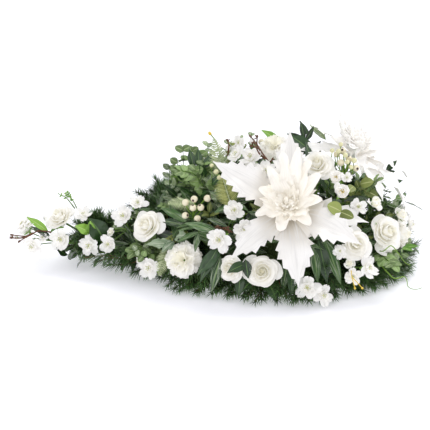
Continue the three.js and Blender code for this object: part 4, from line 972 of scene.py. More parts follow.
def berry_skin(shader, skin, dot):
    """A berry's smooth skin: the pole has a brown dot, with a darker blush round it."""
    _, v = shader.uv()
    cloud = shader.noise(120)
    body = shader.blend(shade(skin, 0.86, 1.05), skin, cloud.between(0.3, 0.7))
    colour = shader.blend(body, dot, v.between(0.974, 0.99))
    return shader.surface(colour, 0.28 + cloud * 0.15, cloud, 0.15, 0.0005, coat_weight=0.2)


def needle_skin(shader, dark, light, tip):
    """Fir needles: dark to light green by their tone, paler towards the point."""
    _, v = shader.uv()
    cloud = shader.noise(45)
    share = (shader.tone() * 0.75 + cloud * 0.45).between(0.15, 1)
    body = shader.blend(dark, light, share)
    colour = shader.blend(body, tip, v.between(0.35, 1.0) * 0.55)
    return shader.surface(colour, 0.5 + cloud * 0.2, cloud, 0.1, 0.0005)


def moss(shader, dark, light):
    """Moss over the foam: green and brown clumps with a coarse pile."""
    clumps = shader.noise(38, 4.0)
    pile = shader.noise(420, 3.0)
    body = shader.blend(dark, light, (clumps * 0.7 + pile * 0.5).between(0.35, 0.85))
    colour = shader.blend(body, srgb(92, 76, 48), clumps.between(0.58, 0.72) * 0.6)
    return shader.surface(colour, 0.85 + pile * 0.1, pile + clumps * 2, 0.9, 0.003)


def tray_plastic(shader, base):
    """The moulded tray: matt plastic with a fine leather grain."""
    grain = shader.noise(900, 3.0)
    colour = shader.blend(shade(base, 0.85), shade(base, 1.1), grain.between(0.35, 0.65))
    return shader.surface(colour, 0.5 + grain * 0.2, grain, 0.25, 0.0004)


def studio_paper(shader, paper):
    """The floor: seamless paper with hardly any mottling, lit from below as on a light table."""
    cloud = shader.noise(3, 3.0)
    colour = shader.blend(shade(paper, 0.73), shade(paper, 0.74), cloud.between(0.3, 0.7))
    return shader.surface(colour, 0.8 + cloud * 0.1, emission_color=shade(paper, 1),
                          emission_strength=PAPER_GLOW)


# The pale colour of frosted leaves and their frosted rims, and of the painted sheen on the lance leaves
FROST_AND_SHEEN = srgb(204, 212, 188)

# Stems and other round grained parts: dark and light screen colours
BARKS = {
    "pale_heart": ((206, 208, 140), (236, 232, 190)),
    "stamen_yellow": ((214, 176, 52), (244, 220, 96)),
    "brown_bud": ((74, 50, 36), (122, 86, 60)),
    "green_stem": ((52, 84, 34), (118, 150, 66)),
    "bright_stem": ((92, 132, 36), (150, 186, 70)),
    "brown_bark": ((70, 42, 28), (128, 84, 56)),
    "fir_wire": ((74, 44, 30), (116, 74, 48)),
}

# Leaves: dark, light and rib screen colours, roughness, pale streaks (frosted, but painted sheen on the lance
# leaves), rim
LEAVES = {
    "fresh_leaf": ((84, 136, 44), (138, 182, 70), (178, 206, 120), 0.4),
    "frosted_leaf": ((70, 100, 54), (124, 150, 90), (190, 202, 158), 0.6, 0.7),
    # The lance leaves' pale streaks are painted sheen
    "lance_leaf": ((24, 54, 20), (64, 102, 44), (128, 156, 96), 0.42, 0.46),
    "edged_leaf": ((50, 84, 34), (92, 128, 56), (176, 190, 136), 0.45, 0.0, 0.8),
    "olive_leaf": ((96, 108, 48), (150, 162, 86), (186, 192, 130)),
    "dusty_leaf": ((98, 124, 94), (146, 166, 134), (186, 198, 172), 0.7, 0.5),
    "fern_leaf": ((142, 160, 108), (196, 206, 160), (214, 220, 186), 0.6, 0.3),
    "olive_fern": ((126, 134, 64), (170, 174, 102), (188, 192, 128), 0.6),
}


def toned(colour, factor):
    """The three parts of a colour made lighter or darker."""
    return shade(colour, factor)[:3]


def own_finish(name, s):
    """The finish of that name that starts from the user's colours, or that only one kind of piece has."""
    c = bpy.context.scene.arrangement_colours
    recipes = {
        "blossom_silk": lambda: silk(s, c.petal, srgb(226, 228, 186), 0.35, 0.3, 0.05),
        # Bracts: beige-grey towards the foot, painted shade where they meet the flower's middle
        "bract_velvet": lambda: silk(s, toned(c.petal, 0.91), srgb(190, 180, 160), 0.6, 0.0, 0.03, 0.86, 0.8),
        # The back flower's silks: the front ones painted brighter, with more painted glow, as painted light
        # from behind it
        "sheer_silk": lambda: silk(s, c.petal, srgb(230, 225, 216), 0.4, 0.25, 0.08, 0.9),
        "sheer_curls": lambda: silk(s, c.petal, c.cream, 0.3, 0.3, 0.09, 0.94),
        # Curls: deeper cream towards the foot, painted shade between the curls over their own cream colour
        "cream_silk": lambda: silk(s, toned(c.cream, 0.97), srgb(243, 227, 198), 0.42, 0.2, 0.08, 0.91, 0.6),
        "ranunculus_silk": lambda: silk(s, c.petal, srgb(232, 150, 40), 0.2),
        "rose_silk": lambda: rose_silk(s, c.petal, srgb(246, 243, 226)),
        "berry_skin": lambda: berry_skin(s, c.berry, srgb(58, 34, 22)),
        "green_berry": lambda: berry_skin(s, srgb(232, 232, 186), srgb(180, 176, 100)),
        "coated_leaf": lambda: foliage(s, toned(c.leaf, 0.36), c.leaf, srgb(88, 122, 60), 0.26, coat=0.35),
        "eucalyptus_leaf": lambda: foliage(
            s, toned(c.eucalyptus, 0.5), toned(c.eucalyptus, 1.25), srgb(168, 188, 130), 0.5, 0.28),
        "fir_needle": lambda: needle_skin(s, toned(c.fir, 0.2), srgb(78, 118, 58), srgb(140, 176, 100)),
        "dry_moss": lambda: moss(s, srgb(34, 48, 24), srgb(84, 104, 48)),
        "tray_plastic": lambda: tray_plastic(s, srgb(46, 60, 44)),
        "studio_paper": lambda: studio_paper(s, c.paper),
    }
    return recipes[name]()


def paint_of(name):
    """The material of that name, made the first time that a piece asks for it."""
    made = bpy.data.materials.get(name)
    if made:
        return made
    shader = Shader(name)
    if name in BARKS:
        return bark(shader, *(srgb(*colour) for colour in BARKS[name]))
    if name in LEAVES:
        return foliage(shader, *(srgb(*colour) for colour in LEAVES[name][:3]), *LEAVES[name][3:])
    return own_finish(name, shader)


# The foam, as in the drawing


def foam_half_width(x):
    """Half the foam's width over X: a wedge from the tail that runs on the tangent into a round head."""
    x = vector(x)
    tangent = math.asin(FOAM_HEAD_RADIUS / (FOAM_HEAD_X - FOAM_TAIL_X))
    meet = FOAM_HEAD_X - FOAM_HEAD_RADIUS * math.sin(tangent)
    wedge = (x - FOAM_TAIL_X) * math.tan(tangent)
    head = np.sqrt(np.maximum(FOAM_HEAD_RADIUS**2 - (x - FOAM_HEAD_X) ** 2, 0))
    return np.maximum(np.where(x < meet, wedge, head), 0)


def foam_height(x):
    """The foam's height over X: a quarter sine from tail to head, which falls away past the head's
    middle."""
    along = np.clip((x - FOAM_TAIL_X) / (FOAM_HEAD_X - FOAM_TAIL_X), 0, 1)
    fall = smooth(FOAM_HEAD_X, FOAM_HEAD_X + 1.6 * FOAM_HEAD_RADIUS, x)
    return mix(FOAM_TAIL_HEIGHT, FOAM_HEAD_HEIGHT, np.sin(math.pi / 2 * along)) * (1 - 0.75 * fall)


def inside_foam(points):
    """Which points lie in the foam: an ellipse over each X, above the board."""
    x, y, z = np.moveaxis(points, -1, 0)
    wide, high = np.maximum(foam_half_width(x), 0.1), foam_height(x)
    return (z > BOARD_THICKNESS) & ((y / wide) ** 2 + (z / high) ** 2 < 1)


def foot_of(start):
    """Where a stem from start ends: straight towards the foam's middle, and STEM_DEPTH past its skin."""
    start = vector(start)
    aim = vector([np.clip(start[0], *AIM_X), 0.3 * start[1], 0.3 * start[2] + 8])
    way = unit(aim - start)
    steps = start + np.arange(SEARCH_STEPS)[:, None] * way
    return steps[np.argmax(inside_foam(steps))] + STEM_DEPTH * way


def stem_path(start, axis, foot=None):
    """A bloom's stem: back along its axis, then over to its foot."""
    start = vector(start)
    foot = foot_of(start) if foot is None else foot
    run = np.linalg.norm(foot - start)
    bend = mix(start - 0.3 * run * unit(axis), mix(start, foot, 0.45), 0.6)
    return np.stack([start, bend, foot])


# Shapes over two parameters


def parameters(rows, columns):
    """How far along, from 0 to 1, and how far to the side, from -1 to 1, for grids of one or more
    copies."""
    return np.linspace(0, 1, rows)[None, :, None], np.linspace(-1, 1, columns)[None, None, :]


def column_of(values):
    """Values, one for each copy, so that they spread over grids."""
    return np.reshape(vector(values), (-1, 1, 1))


def round_axis(turn, out, side, up):
    """Points at a distance out from the Z axis, shifted to the side, at a height up, turned about Z."""
    turn, out, side, up = np.broadcast_arrays(turn, out, side, up)
    c, s = np.cos(turn), np.sin(turn)
    return np.stack([out * c - side * s, out * s + side * c, up], -1)


def leaf_grid(length, width, bend=0.5, keel=0.12, fullest=0.45, rounded=0.0, wave=0.0, teeth=0, size=(7, 5)):
    """Leaves along +X. Half the width is the sine of the way along, skewed to be widest at fullest and
    blunter where rounded. The spine is an arc that turns down by bend, the sides lift by keel, the edge
    ripples by wave, and the rim may be cut into teeth that lean forwards."""
    length, width, bend = column_of(length), column_of(width), column_of(bend)
    s, t = parameters(*size)
    skewed = np.clip(s, 0.01, 0.99) ** (math.log(0.5) / math.log(fullest))
    half = width / 2 * np.maximum(np.sin(math.pi * skewed) ** (1 - 0.5 * rounded), 0.04)
    if teeth:
        saw = (s * teeth) % 1.0
        half = half * (1 - (0.28 - 0.28 * saw) * smooth(0.5, 1, np.abs(t)) * smooth(0, 0.1, s))
    bend = np.where(np.abs(bend) < 0.01, 0.01, bend)
    x = length * np.sin(bend * s) / bend
    z = -length * (1 - np.cos(bend * s)) / bend
    phase = column_of(np.arange(len(length))) * 0.37
    ripple = wave * half * t**2 * np.sin(2 * math.pi * (2.5 * s + 0.3 * t + phase))
    return np.stack(np.broadcast_arrays(x + 0 * t, half * t, z + keel * half * np.abs(t) + ripple), -1)


def rose_petals(radius, count, rng):
    """A rose's petals round Z. Each stands the golden angle on from the last, opens a little more and ends
    lower. Its profile is a parabola through foot, belly and rim, its rim rolls out, and one side tucks
    in."""
    k = np.arange(count)[:, None, None]
    opened = ((k + 0.5) / count) ** 0.85
    s, t = parameters(9, 11)
    wild = rng.uniform(-1, 1, (5, count, 1, 1))
    along = s * (1 - mix(0.1, 0.3, opened) * np.abs(t) ** 2.2 * smooth(0.1, 0.9, s))
    foot, belly, rim = (1 - along) * (1 - 2 * along), 4 * along * (1 - along), along * (2 * along - 1)
    edge = mix(0.06, 0.94, opened**1.35)
    top = mix(0.9, 0.28, opened**1.6) + 0.04 * wild[2]
    out = foot * 0.06 + belly * edge * mix(1.2, 0.66, opened) + rim * edge * (1 + 0.1 * wild[0])
    up = belly * top * mix(0.6, 0.5, opened) + rim * top
    roll = smooth(0.6, 1, along) * smooth(0.15, 0.8, opened)
    out = out * (1 - 0.1 * t) + roll * (0.12 + 0.04 * wild[1] + 0.03 * np.sin(3 * t + 3 * wild[4]))
    up = up - roll * (0.07 + 0.05 * wild[3]) + 0.065 * s**3 * np.sin(4.6 * t + 5 * wild[1])
    half = mix(1.6, 0.86, opened**0.7) * (1 + 0.15 * wild[3]) * mix(0.4, 1, smooth(0, 0.45, s))
    turn = k * GOLDEN_ANGLE + 0.3 * wild[4] + t * half
    return radius * round_axis(turn, out, 0, up - 0.42), opened.ravel()


def carnation_petals(radius, count, rng):
    """A carnation's petals round Z: fans that lean out more from the middle to the rim. A fan's sides grow
    with the way along, it folds across by two sines, and its rim is cut into shallow fringes."""
    k = np.arange(count)[:, None, None]
    opened = ((k + 0.5) / count) ** 0.75
    s, t = parameters(7, 15)
    wild = rng.uniform(-1, 1, (5, count, 1, 1))
    along = s * (1 - 0.12 * t**2) * (1 - 0.04 * s * np.abs(np.sin(9 * t + 3 * wild[0])))
    lean = (mix(0.1, 1.55, opened) + 0.25 * wild[1]) * (0.5 + 0.5 * along)
    reach = radius * (1 + 0.08 * wild[2]) * along
    fold = radius * along**1.4 * (0.16 * np.sin(4 * t + 6 * wild[3]) + 0.06 * np.sin(9 * t + 5 * wild[4]))
    out = reach * np.sin(lean) + fold * np.cos(lean) + 0.05 * radius
    up = reach * np.cos(lean) * 0.86 - fold * np.sin(lean) - 0.4 * radius
    side = radius * 0.6 * along**0.9 * t
    return round_axis(k * GOLDEN_ANGLE + 0.2 * wild[1], out, side, up), opened.ravel()


def blossom_petals(radius, count, cup, rng):
    """A blossom's petals round Z. A petal's profile is an arc that turns up by cup, each by its own share.
    Its half width is a narrow claw and then a round lobe. It is tipped to one side and crumpled by two
    sines."""
    wild = rng.uniform(-1, 1, (5, count, 1, 1))
    turn = column_of(2 * math.pi * np.arange(count) / count) + 0.18 * wild[0]
    s, t = parameters(7, 9)
    along = s * (1 - 0.12 * np.exp(-((t / 0.25) ** 2)) * s**4) * (1 + 0.1 * wild[3])
    angle = np.where(np.abs(cup + 0.45 * wild[1]) < 0.05, 0.05, cup + 0.45 * wild[1]) * 1.5
    lobe = np.sqrt(np.maximum(1 - ((s - 0.6) / 0.43) ** 2, 0.03))
    half = 2.35 / count * mix(0.25, 1, smooth(0, 0.4, s)) * mix(1, lobe, smooth(0.3, 0.6, s))
    crumple = 0.06 * s**1.5 * (np.sin(4 * t + 7 * wild[2]) + 0.7 * np.sin(7 * t + 5 * s + 5 * wild[3]))
    out = 0.04 + 1.08 * np.sin(angle * along) / angle
    up = 1.08 * (1 - np.cos(angle * along)) / angle - 0.08 + 0.3 * wild[4] * t * half + crumple
    return radius * round_axis(turn, out, half * t * (1 - 0.08 * np.abs(t)), up)


def bract_grid(length, width, lift, droop, teeth, rng, taper=BRACT_TAPER):
    """A bract along +X. Its spine starts at lift and falls by droop, and its sides fold up along the
    midrib. Its half width is a sine that draws in to a narrow tip, by a power called taper. The tip twists,
    three sines ripple the sides, and the rim has forward teeth of uneven depth, where it has any."""
    edges = mix(0.3, 0.86, (np.arange(teeth) + 0.5) / max(teeth, 1))
    stops = np.stack([edges - 0.015, edges + 0.03], -1).ravel() if teeth else np.linspace(0.3, 0.85, 6)
    s = np.concatenate([[0, 0.08, 0.16, 0.24], stops, [0.92, 0.96, 1.0]])[:, None]
    t = np.array([-1, -0.86, -0.62, -0.3, 0, 0.3, 0.62, 0.86, 1])[None, :]
    depth = rng.uniform(0.55, 1.2, (len(edges), 1, 2)) * [[[0.15], [-0.16]]] if teeth else np.zeros((3, 2, 2))
    saw = np.zeros((len(s), 2))
    saw[4:-3] = depth.reshape(-1, 2)
    saw = np.where(t < 0, saw[:, :1], saw[:, 1:])
    rim = smooth(0.55, 1, np.abs(t))
    base = width / 2 * np.maximum(np.sin(math.pi * s**0.9), 0.05) ** mix(0.75, taper, smooth(0.45, 0.9, s))
    if not teeth:
        base = width / 2 * np.maximum(np.sin(math.pi * (0.05 + 0.93 * s)), 0.06) ** 0.6
    half = base * (1 + saw * rim)
    angle = lift - droop * s ** (1.3 if teeth else 2)
    bow = angle / 2 + lift / 2
    flat = s * length + 5 * rim * (saw > 0)
    phase = rng.uniform(0, 6.3, 3)
    twist = 0.5 * np.sin(phase[0]) * smooth(0.5, 1, s)
    wavy = 0.1 if teeth else 0.42
    ripple = base * (wavy * t**2 * np.sin(15 * s + 1.5 * t + phase[1]) + 0.2 * t * np.sin(22 * s + phase[2]))
    ripple += base * 0.5 * wavy * t * np.abs(t) * np.sin(11 * s + phase[0])
    ripple += base * 0.4 * wavy * t**2 * np.sin(27 * s + 2 * np.sign(t) + phase[2])
    lie = 0.24 * half * np.abs(t) + ripple - 1.2 * np.exp(-((t / 0.2) ** 2)) * np.sin(math.pi * s)
    side, lie = half * t * np.cos(twist) - lie * np.sin(twist), half * t * np.sin(twist) + lie * np.cos(twist)
    x, z = flat * np.cos(bow) - lie * np.sin(bow), flat * np.sin(bow) + lie * np.cos(bow)
    return np.stack([x, side, z], -1), s


def pompon_petals(count, tall, rng):
    """The curled petals in the middle of a large flower: blades that stand up in the middle and lean out
    round it, the upper ones longer. A blade's spine hooks in or out, its half width is a blunt sine, and it
    ripples."""
    k = np.arange(count)[:, None, None]
    spread = mix(0.04, 1, k / count)
    turn = k * GOLDEN_ANGLE
    s, t = parameters(8, 9)
    wild = rng.uniform(-1, 1, (6, count, 1, 1))
    size = tall * mix(0.85, 1, spread) * (1 + 0.14 * wild[0] + 0.22 * spread * np.sin(turn))
    lean = mix(0.08, 0.78 + 0.2 * np.sin(turn), spread) + 0.18 * wild[1]
    hook = (0.7 + 0.6 * wild[2]) * s**2 * np.where(wild[3] > -0.5, 1, -1)
    out = 2 + 4 * spread + size * (s * np.sin(lean) + 0.28 * s * np.sin(hook))
    up = 9 + size * (s * np.cos(lean) - 0.14 * s**2 * np.abs(hook))
    half = mix(10, 13.5, spread) * np.maximum(np.sin(math.pi * (0.12 + 0.82 * s)), 0.12) ** 0.5
    ripple = 3.4 * s * np.sin(3 * t + 5 * s + 5 * wild[4]) + 2.4 * s * np.sin(7 * t + 6 * s + 5 * wild[5])
    return round_axis(turn + 0.4 * s * wild[3], out + ripple, half * t, up + 0.6 * ripple)


# Parts that several pieces share


# Profiles of small round parts: distance from the axis and height, for a size of one
HIP = [(0, -0.3), (0.08, -0.27), (0.15, -0.14), (0.22, 0.02), (0.16, 0.1), (0, 0.1)]
ROSE_HEART = [(0, -0.35), (0.1, -0.3), (0.12, -0.05), (0.09, 0.08), (0.05, 0.14), (0, 0.15)]
ROSEBUD_HEART = [(0, -0.7), (0.2, -0.6), (0.45, -0.3), (0.4, 0.1), (0.2, 0.3), (0, 0.35)]
BUD_EGG = [(0, 0), (0.5, 0.15), (0.85, 0.6), (0.82, 1.2), (0.5, 1.9), (0, 2.3)]
BUD_CUP = [(0, -0.2), (0.3, -0.12), (0.62, 0.2), (0.8, 0.62), (0.4, 0.5), (0, 0.4)]
BLOSSOM_HUB = [(0, -0.22), (0.08, -0.18), (0.14, -0.08), (0.12, 0.03), (0.07, 0.1), (0, 0.12)]
ANTHER = [(0, -1), (0.8, -0.4), (0.8, 0.4), (0, 1)]
LONG_ANTHER = [(0, -1), (0.8, -0.5), (1, 0.4), (0, 1.4)]
TWIG_BUD = [(0, -0.6), (0.5, -0.3), (0.75, 0.4), (0.5, 1.3), (0, 1.9)]
GREEN_BERRY = [(0, -1), (0.7, -0.7), (1, 0), (0.8, 0.6), (0, 1)]
YELLOW_BUD = [(0, -0.3), (0.6, 0), (0.95, 0.8), (0.8, 1.6), (0.3, 2.1), (0, 2.2)]

# The same in millimetres
BRACT_HUB = [(0, -14), (6, -12), (11, -5), (10, 2), (5, 6), (0, 7)]
CURL_CORE = [(0, 2), (7, 4), (10, 9), (9, 15), (5, 19), (0, 20)]

# Crowns of petals from the outer to the inner one: share of the size, petals, how far they cup
BLOSSOM_CROWNS = [(1.2, 5, 0.35), (0.78, 5, 0.95), (0.42, 4, 1.4)]
RANUNCULUS_CROWNS = [(1.15, 6, 0.9), (1.0, 6, 1.2), (0.8, 6, 1.5), (0.6, 5, 1.8)]


def add_leaves(mould, starts, ways, shows, length, width, paint, rng, **shape):
    """Leaves from starts along ways, each showing a side, with tones of their own."""
    frames = leaf_frames(starts, ways, shows)
    grid = leaf_grid(np.broadcast_to(length, len(frames)), np.broadcast_to(width, len(frames)), **shape)
    mould.blades(put(grid, frames), BLADE, paint, rng.uniform(0, 1, len(frames)))


def add_leaf_to(mould, start, tip, width, show, paint, rng, **shape):
    """One leaf from its root to its tip."""
    way = vector(tip) - start
    add_leaves(mould, start, way, show, np.linalg.norm(way), width, paint, rng, **shape)


def twig_rib(long, s):
    """Points on a twig's rib: an arc along X that turns down by TWIG_ARC."""
    return long / TWIG_ARC * np.stack([np.sin(TWIG_ARC * s), 0 * s, np.cos(TWIG_ARC * s) - 1], -1)


def add_twigs(mould, owner, path, rng):
    """The leafy twigs that a stem carries: a rib on an arc that turns down a little, and pairs of small
    leaves whose reach fills the outline of a long rhombus."""
    if owner not in TWIGS:
        return
    root = nearest_on(path, vector(TWIGS[owner]["root"]))
    for *tip, width in TWIGS[owner]["tips"]:
        way = vector(tip) - root
        long = np.linalg.norm(way)
        place = leaf_frames(root, way, [0, 0.5 * np.sign(tip[1]), 1])
        rib = twig_rib(long, np.linspace(0, 1, 12))
        mould.tubes(put(rib[None], place), np.linspace(1.3, 0.6, len(rib)), 5, "green_stem")
        paint, _, _, bend, rounded = a_filler(rng)
        pairs = int(long / 8)
        s = np.repeat(np.linspace(0.2, 0.95, pairs), 2)
        reach = np.maximum(width / 2 * (1 - np.abs(2 * s - 1)) ** 0.7, 9) * rng.uniform(1.05, 1.35, len(s))
        roots = twig_rib(long, s)
        ways = np.stack([0.75 + 0 * s, np.tile([-1.0, 1.0], pairs), rng.normal(0.1, 0.25, len(s))], -1)
        ends = put(roots[None] + unit(ways)[None] * reach[:, None], place)[0]
        keep = ~in_the_way(ends)
        if not keep.any():
            continue
        frames = leaf_frames(roots, ways, [0, 0, 1])[keep]
        grid = put(leaf_grid(reach[keep], 0.52 * reach[keep], bend=bend, rounded=rounded, wave=0.12), frames)
        placed = put(grid.reshape(1, -1, 3), place).reshape(grid.shape)
        mould.blades(placed, BLADE, paint, rng.uniform(0, 1, len(grid)))


def add_calyx(mould, at, axis, radius, rng, paint="green_stem"):
    """The hip under a bloom and five sepals that lie along its back."""
    axis = unit(axis)
    base = vector(at) - 0.45 * radius * axis
    mould.turned(HIP, radius, 8, facing(base, axis), paint)
    turns = 2 * math.pi * np.arange(5) / 5 + rng.uniform(0, 1)
    out = round_about(turns, *facing(base, axis)[0].T[:2])
    add_leaves(mould, base + out * 0.12 * radius - 0.04 * radius * axis, out + 0.25 * axis, out * -0.4 + axis,
               0.72 * radius, 0.24 * radius, "fresh_leaf", rng, bend=-0.5, fullest=0.3, size=(5, 3))


def add_head(mould, at, look, size, rng, kind="blossom"):
    """One head of a spray: an open blossom, a ranunculus cup, or a bud."""
    if kind == "bud":
        add = add_rosebud if size > ROSEBUD_SIZE else add_bud
        add(mould, at, look, size, rng)
    else:
        add_blossom(mould, at, look, size, rng, kind == "ranunculus")


def add_rosebud(mould, at, look, size, rng):
    """A half open rosebud, drawn out along its axis, in its calyx."""
    place = facing(at, look, size)
    petals, opened = rose_petals(1.15 * size, 10, rng)
    mould.blades(put(petals * [1, 1, 1.25], place), BLADE, "rose_silk", opened)
    mould.turned(ROSEBUD_HEART, size, 10, place, "rose_silk", 0)
    add_calyx(mould, at, look, size, rng, "bright_stem")


def add_bud(mould, at, look, size, _):
    """A closed bud: an egg wrapped in three petals, in a green cup."""
    place = facing(at, look, size)
    mould.turned(BUD_EGG, 0.92 * size, 10, place, "blossom_silk", 1)
    mould.blades(put(bud_wraps(size), place), 0.4, "blossom_silk", 1)
    mould.turned(BUD_CUP, size, 10, place, "bright_stem")


def add_blossom(mould, at, look, size, rng, cupped=False):
    """A blossom, or a cupped ranunculus: crowns of petals, a hub, and stamens on a cone by the golden
    angle."""
    place = facing(at, look, size)
    for ring, (share, petals, cup) in enumerate(RANUNCULUS_CROWNS if cupped else BLOSSOM_CROWNS):
        crown = blossom_petals(size * share, petals, cup, rng)
        crown = put(crown, facing(at, look, size + 0.5 * ring))
        paint = "ranunculus_silk" if cupped else "blossom_silk"
        mould.blades(crown, BLADE, paint, rng.uniform(0, 1, len(crown)))
    heart = "stamen_yellow" if cupped else "pale_heart"
    mould.turned(BLOSSOM_HUB, size, 8, place, heart)
    count = 16 if cupped else 7
    turn = GOLDEN_ANGLE * np.arange(count)
    lean = np.sqrt((np.arange(count) + 0.5) / count) * 0.55
    tall = size * rng.uniform(0.3, 0.5, count)
    tips = round_axis(turn, tall * np.sin(lean) + 0.06 * size, 0, tall * np.cos(lean))
    roots = round_axis(turn, 0.05 * size, 0, 0)
    roots, tips = (put(p[None], place)[0] for p in (roots, tips))
    mould.tubes(np.stack([roots, tips], 1), 0.22, 3, "bright_stem")
    mould.turned(ANTHER, 0.05 * size + 0.25, 5, facing(tips, tips - roots), heart)


def bud_wraps(size):
    """Three petals wrapped round a bud. Their distance from its axis is a skewed sine of the height, and
    each twists on over the next as it rises."""
    s, t = parameters(6, 7)
    turn = column_of(2 * math.pi * np.arange(3) / 3) + t * 1.25 * np.sin(math.pi * (0.15 + 0.6 * s)) + 0.5 * s
    out = size * (0.98 * np.sin(math.pi * (0.1 + 0.84 * s) ** 0.85) ** 0.8 * (1 - 0.06 * t) + 0.02)
    return round_axis(turn, out, 0, size * 2.35 * s)


def begin(name):
    """Seeded chance of a piece's own, from the letters of its name, and an empty mould."""
    return np.random.default_rng([ord(letter) for letter in name]), Mould()


# Pieces


def build_bloom(name, at, look, radius, sizes):
    """A rose or a carnation: its petals, and the closed middle that they wrap."""
    rng, mould = begin(name)
    place = facing(at, look, ROSE_TURNS.get(name, radius))
    if name.startswith("carnation"):
        petals, opened = carnation_petals(radius, sizes.carnation_petals, rng)
    else:
        petals, opened = rose_petals(radius, sizes.rose_petals, rng)
        mould.turned(ROSE_HEART, radius, 12, place, "rose_silk", 0)
    mould.blades(put(petals, place), sizes.petal_thickness / MM, "rose_silk", opened)
    mould.cast(f"silk_{name}", "petal", name)


def build_stem(stem):
    """The stems of the blooms that share a foot, with hips, sepals and the green leaves that they carry."""
    rng, mould = begin(stem)
    main = None
    for _, at, look, radius, shared in ROSES:
        if shared != stem:
            continue
        axis = unit(look)
        seat = vector(at) - 0.6 * radius * axis
        path = stem_path(seat, axis, None if main is None else point_on(main, 0.66))
        main = path if main is None else main
        mould.stem(path, 8, STEM_RADIUS, 8)
        add_calyx(mould, at, axis, radius, rng)
    for shared, start, tip, width in STEM_LEAVES:
        if shared == stem:
            root, show = nearest_on(main, vector(start)), (0, np.sign(tip[1]), 1)
            add_leaf_to(mould, root, tip, width, show, "coated_leaf", rng, wave=0.12, teeth=12, size=(25, 7))
    add_twigs(mould, f"stem_{stem}", main, rng)
    mould.cast(f"stalks_{stem}", "leaf", f"stem_{stem}")


def build_large_flower(name, plan, sizes):
    """A large flower: toothed bracts round a hub, a pompon of curled petals, and a stout stem."""
    at, axis = vector(plan["at"]), unit(plan["look"])
    bract_paint, curl_paint = plan["silks"]
    rng, mould = begin(name)
    for turn, length, width, lift, droop, teeth in plan["bracts"]:
        taper = RIBBON_TAPER if turn == plan.get("ribbon") else BRACT_TAPER
        grid, s = bract_grid(length, width, lift, droop, teeth, rng, taper)
        place = facing(at, axis, math.radians(turn))
        place[..., 3] += 3 * place[..., 0]
        mould.blades(put(grid[None], place), sizes.bract_thickness / MM, bract_paint if teeth else curl_paint,
                     rng.uniform(0, 1), along=s.ravel())
    middle = facing(at, axis)
    mould.turned(BRACT_HUB, 1, 16, middle, bract_paint)
    mould.cast(f"silk_{name}_bracts", "bract", f"{name}_bracts")
    mould = Mould()
    curls = put(pompon_petals(CURLS, CURL_LENGTH, rng), middle)
    mould.blades(curls, BLADE, curl_paint, rng.uniform(0, 1, CURLS))
    mould.turned(CURL_CORE, 1, 16, middle, curl_paint, 0.3)
    mould.cast(f"silk_{name}_middle", "cream", f"{name}_middle")
    mould = Mould()
    path = stem_path(at - 8 * axis, axis)
    mould.stem(path, 10, THICK_STEM_RADIUS, 10)
    add_twigs(mould, f"{name}_stem", path, rng)
    mould.cast(f"stalk_{name}", "leaf", f"{name}_stem")


def build_spray(name, plan):
    """A spray: its stem into the foam, a twig to each head, the heads, and its small leaves."""
    rng, mould = begin(name)
    path = np.stack([*vector(plan["through"]), foot_of(plan["through"][-1])])
    mould.stem(path, 6, 1.3 * TWIG_RADIUS, 6)
    for at, look, size, *kind in plan["heads"]:
        x, y, axis, _ = facing(at, look, size)[0].T
        seat = vector(at) - (0 if kind == ["bud"] else 0.15 * size) * axis
        start = nearest_on(path, mix(seat, path[-1], TWIG_SLANT))
        mould.stem([start, mix(start, seat, 0.6) - 0.25 * size * axis, seat], 4, 0.8 * TWIG_RADIUS, 5)
        add_head(mould, at, look, size, rng, *kind)
        if kind != ["bud"]:
            out = round_about(rng.uniform(0, 6.3) + vector([0, 2.2, 4.1]), x, y)
            add_leaves(mould, seat - 0.12 * size * axis, out + 0.1 * axis, axis, 1.05 * size, 0.42 * size,
                       "fresh_leaf", rng, bend=0.3, size=(6, 3))
    for start, tip, width in plan.get("leaves", ()):
        root = nearest_on(path, vector(start))
        add_leaf_to(mould, root, tip, width, (0, -0.3, 1), "coated_leaf", rng, wave=0.1, size=(9, 5))
    mould.cast(f"silk_{name}", "petal", name)


def build_berries(name, plan, sizes):
    """A berry spray: bright green stalks and round berries, each with a brown dot at its far pole."""
    rng, mould = begin(name)
    path = np.stack([vector(plan["through"]), foot_of(plan["through"])])
    mould.stem(path, 6, 1.3 * TWIG_RADIUS, 6, "bright_stem")
    radius = sizes.berry_size / MM / 2
    turn = math.pi * np.linspace(0, 1, 11)
    skin = np.stack([np.sin(turn), -np.cos(turn)], -1)
    skin[0, 0] = skin[-1, 0] = 0
    skin[-1, 1] = 0.94
    for k, at in enumerate(plan["berries"]):
        low = k in plan.get("low", ())
        look = unit(vector([0, -0.8, 0.5] if low else [0, -0.5, 0.8]) + rng.normal(0, 0.6, 3))
        seat = vector(at) - 0.8 * radius * look
        start = nearest_on(path, mix(seat, path[-1], TWIG_SLANT))
        mould.stem([start, mix(start, seat, 0.6) - 3 * look, seat], 4, 0.9, 5, "bright_stem")
        mould.turned(skin, radius * rng.uniform(0.94, 1.05), 16, facing(at, look), "berry_skin")
    mould.cast(f"fruit_{name}", "berry", name)


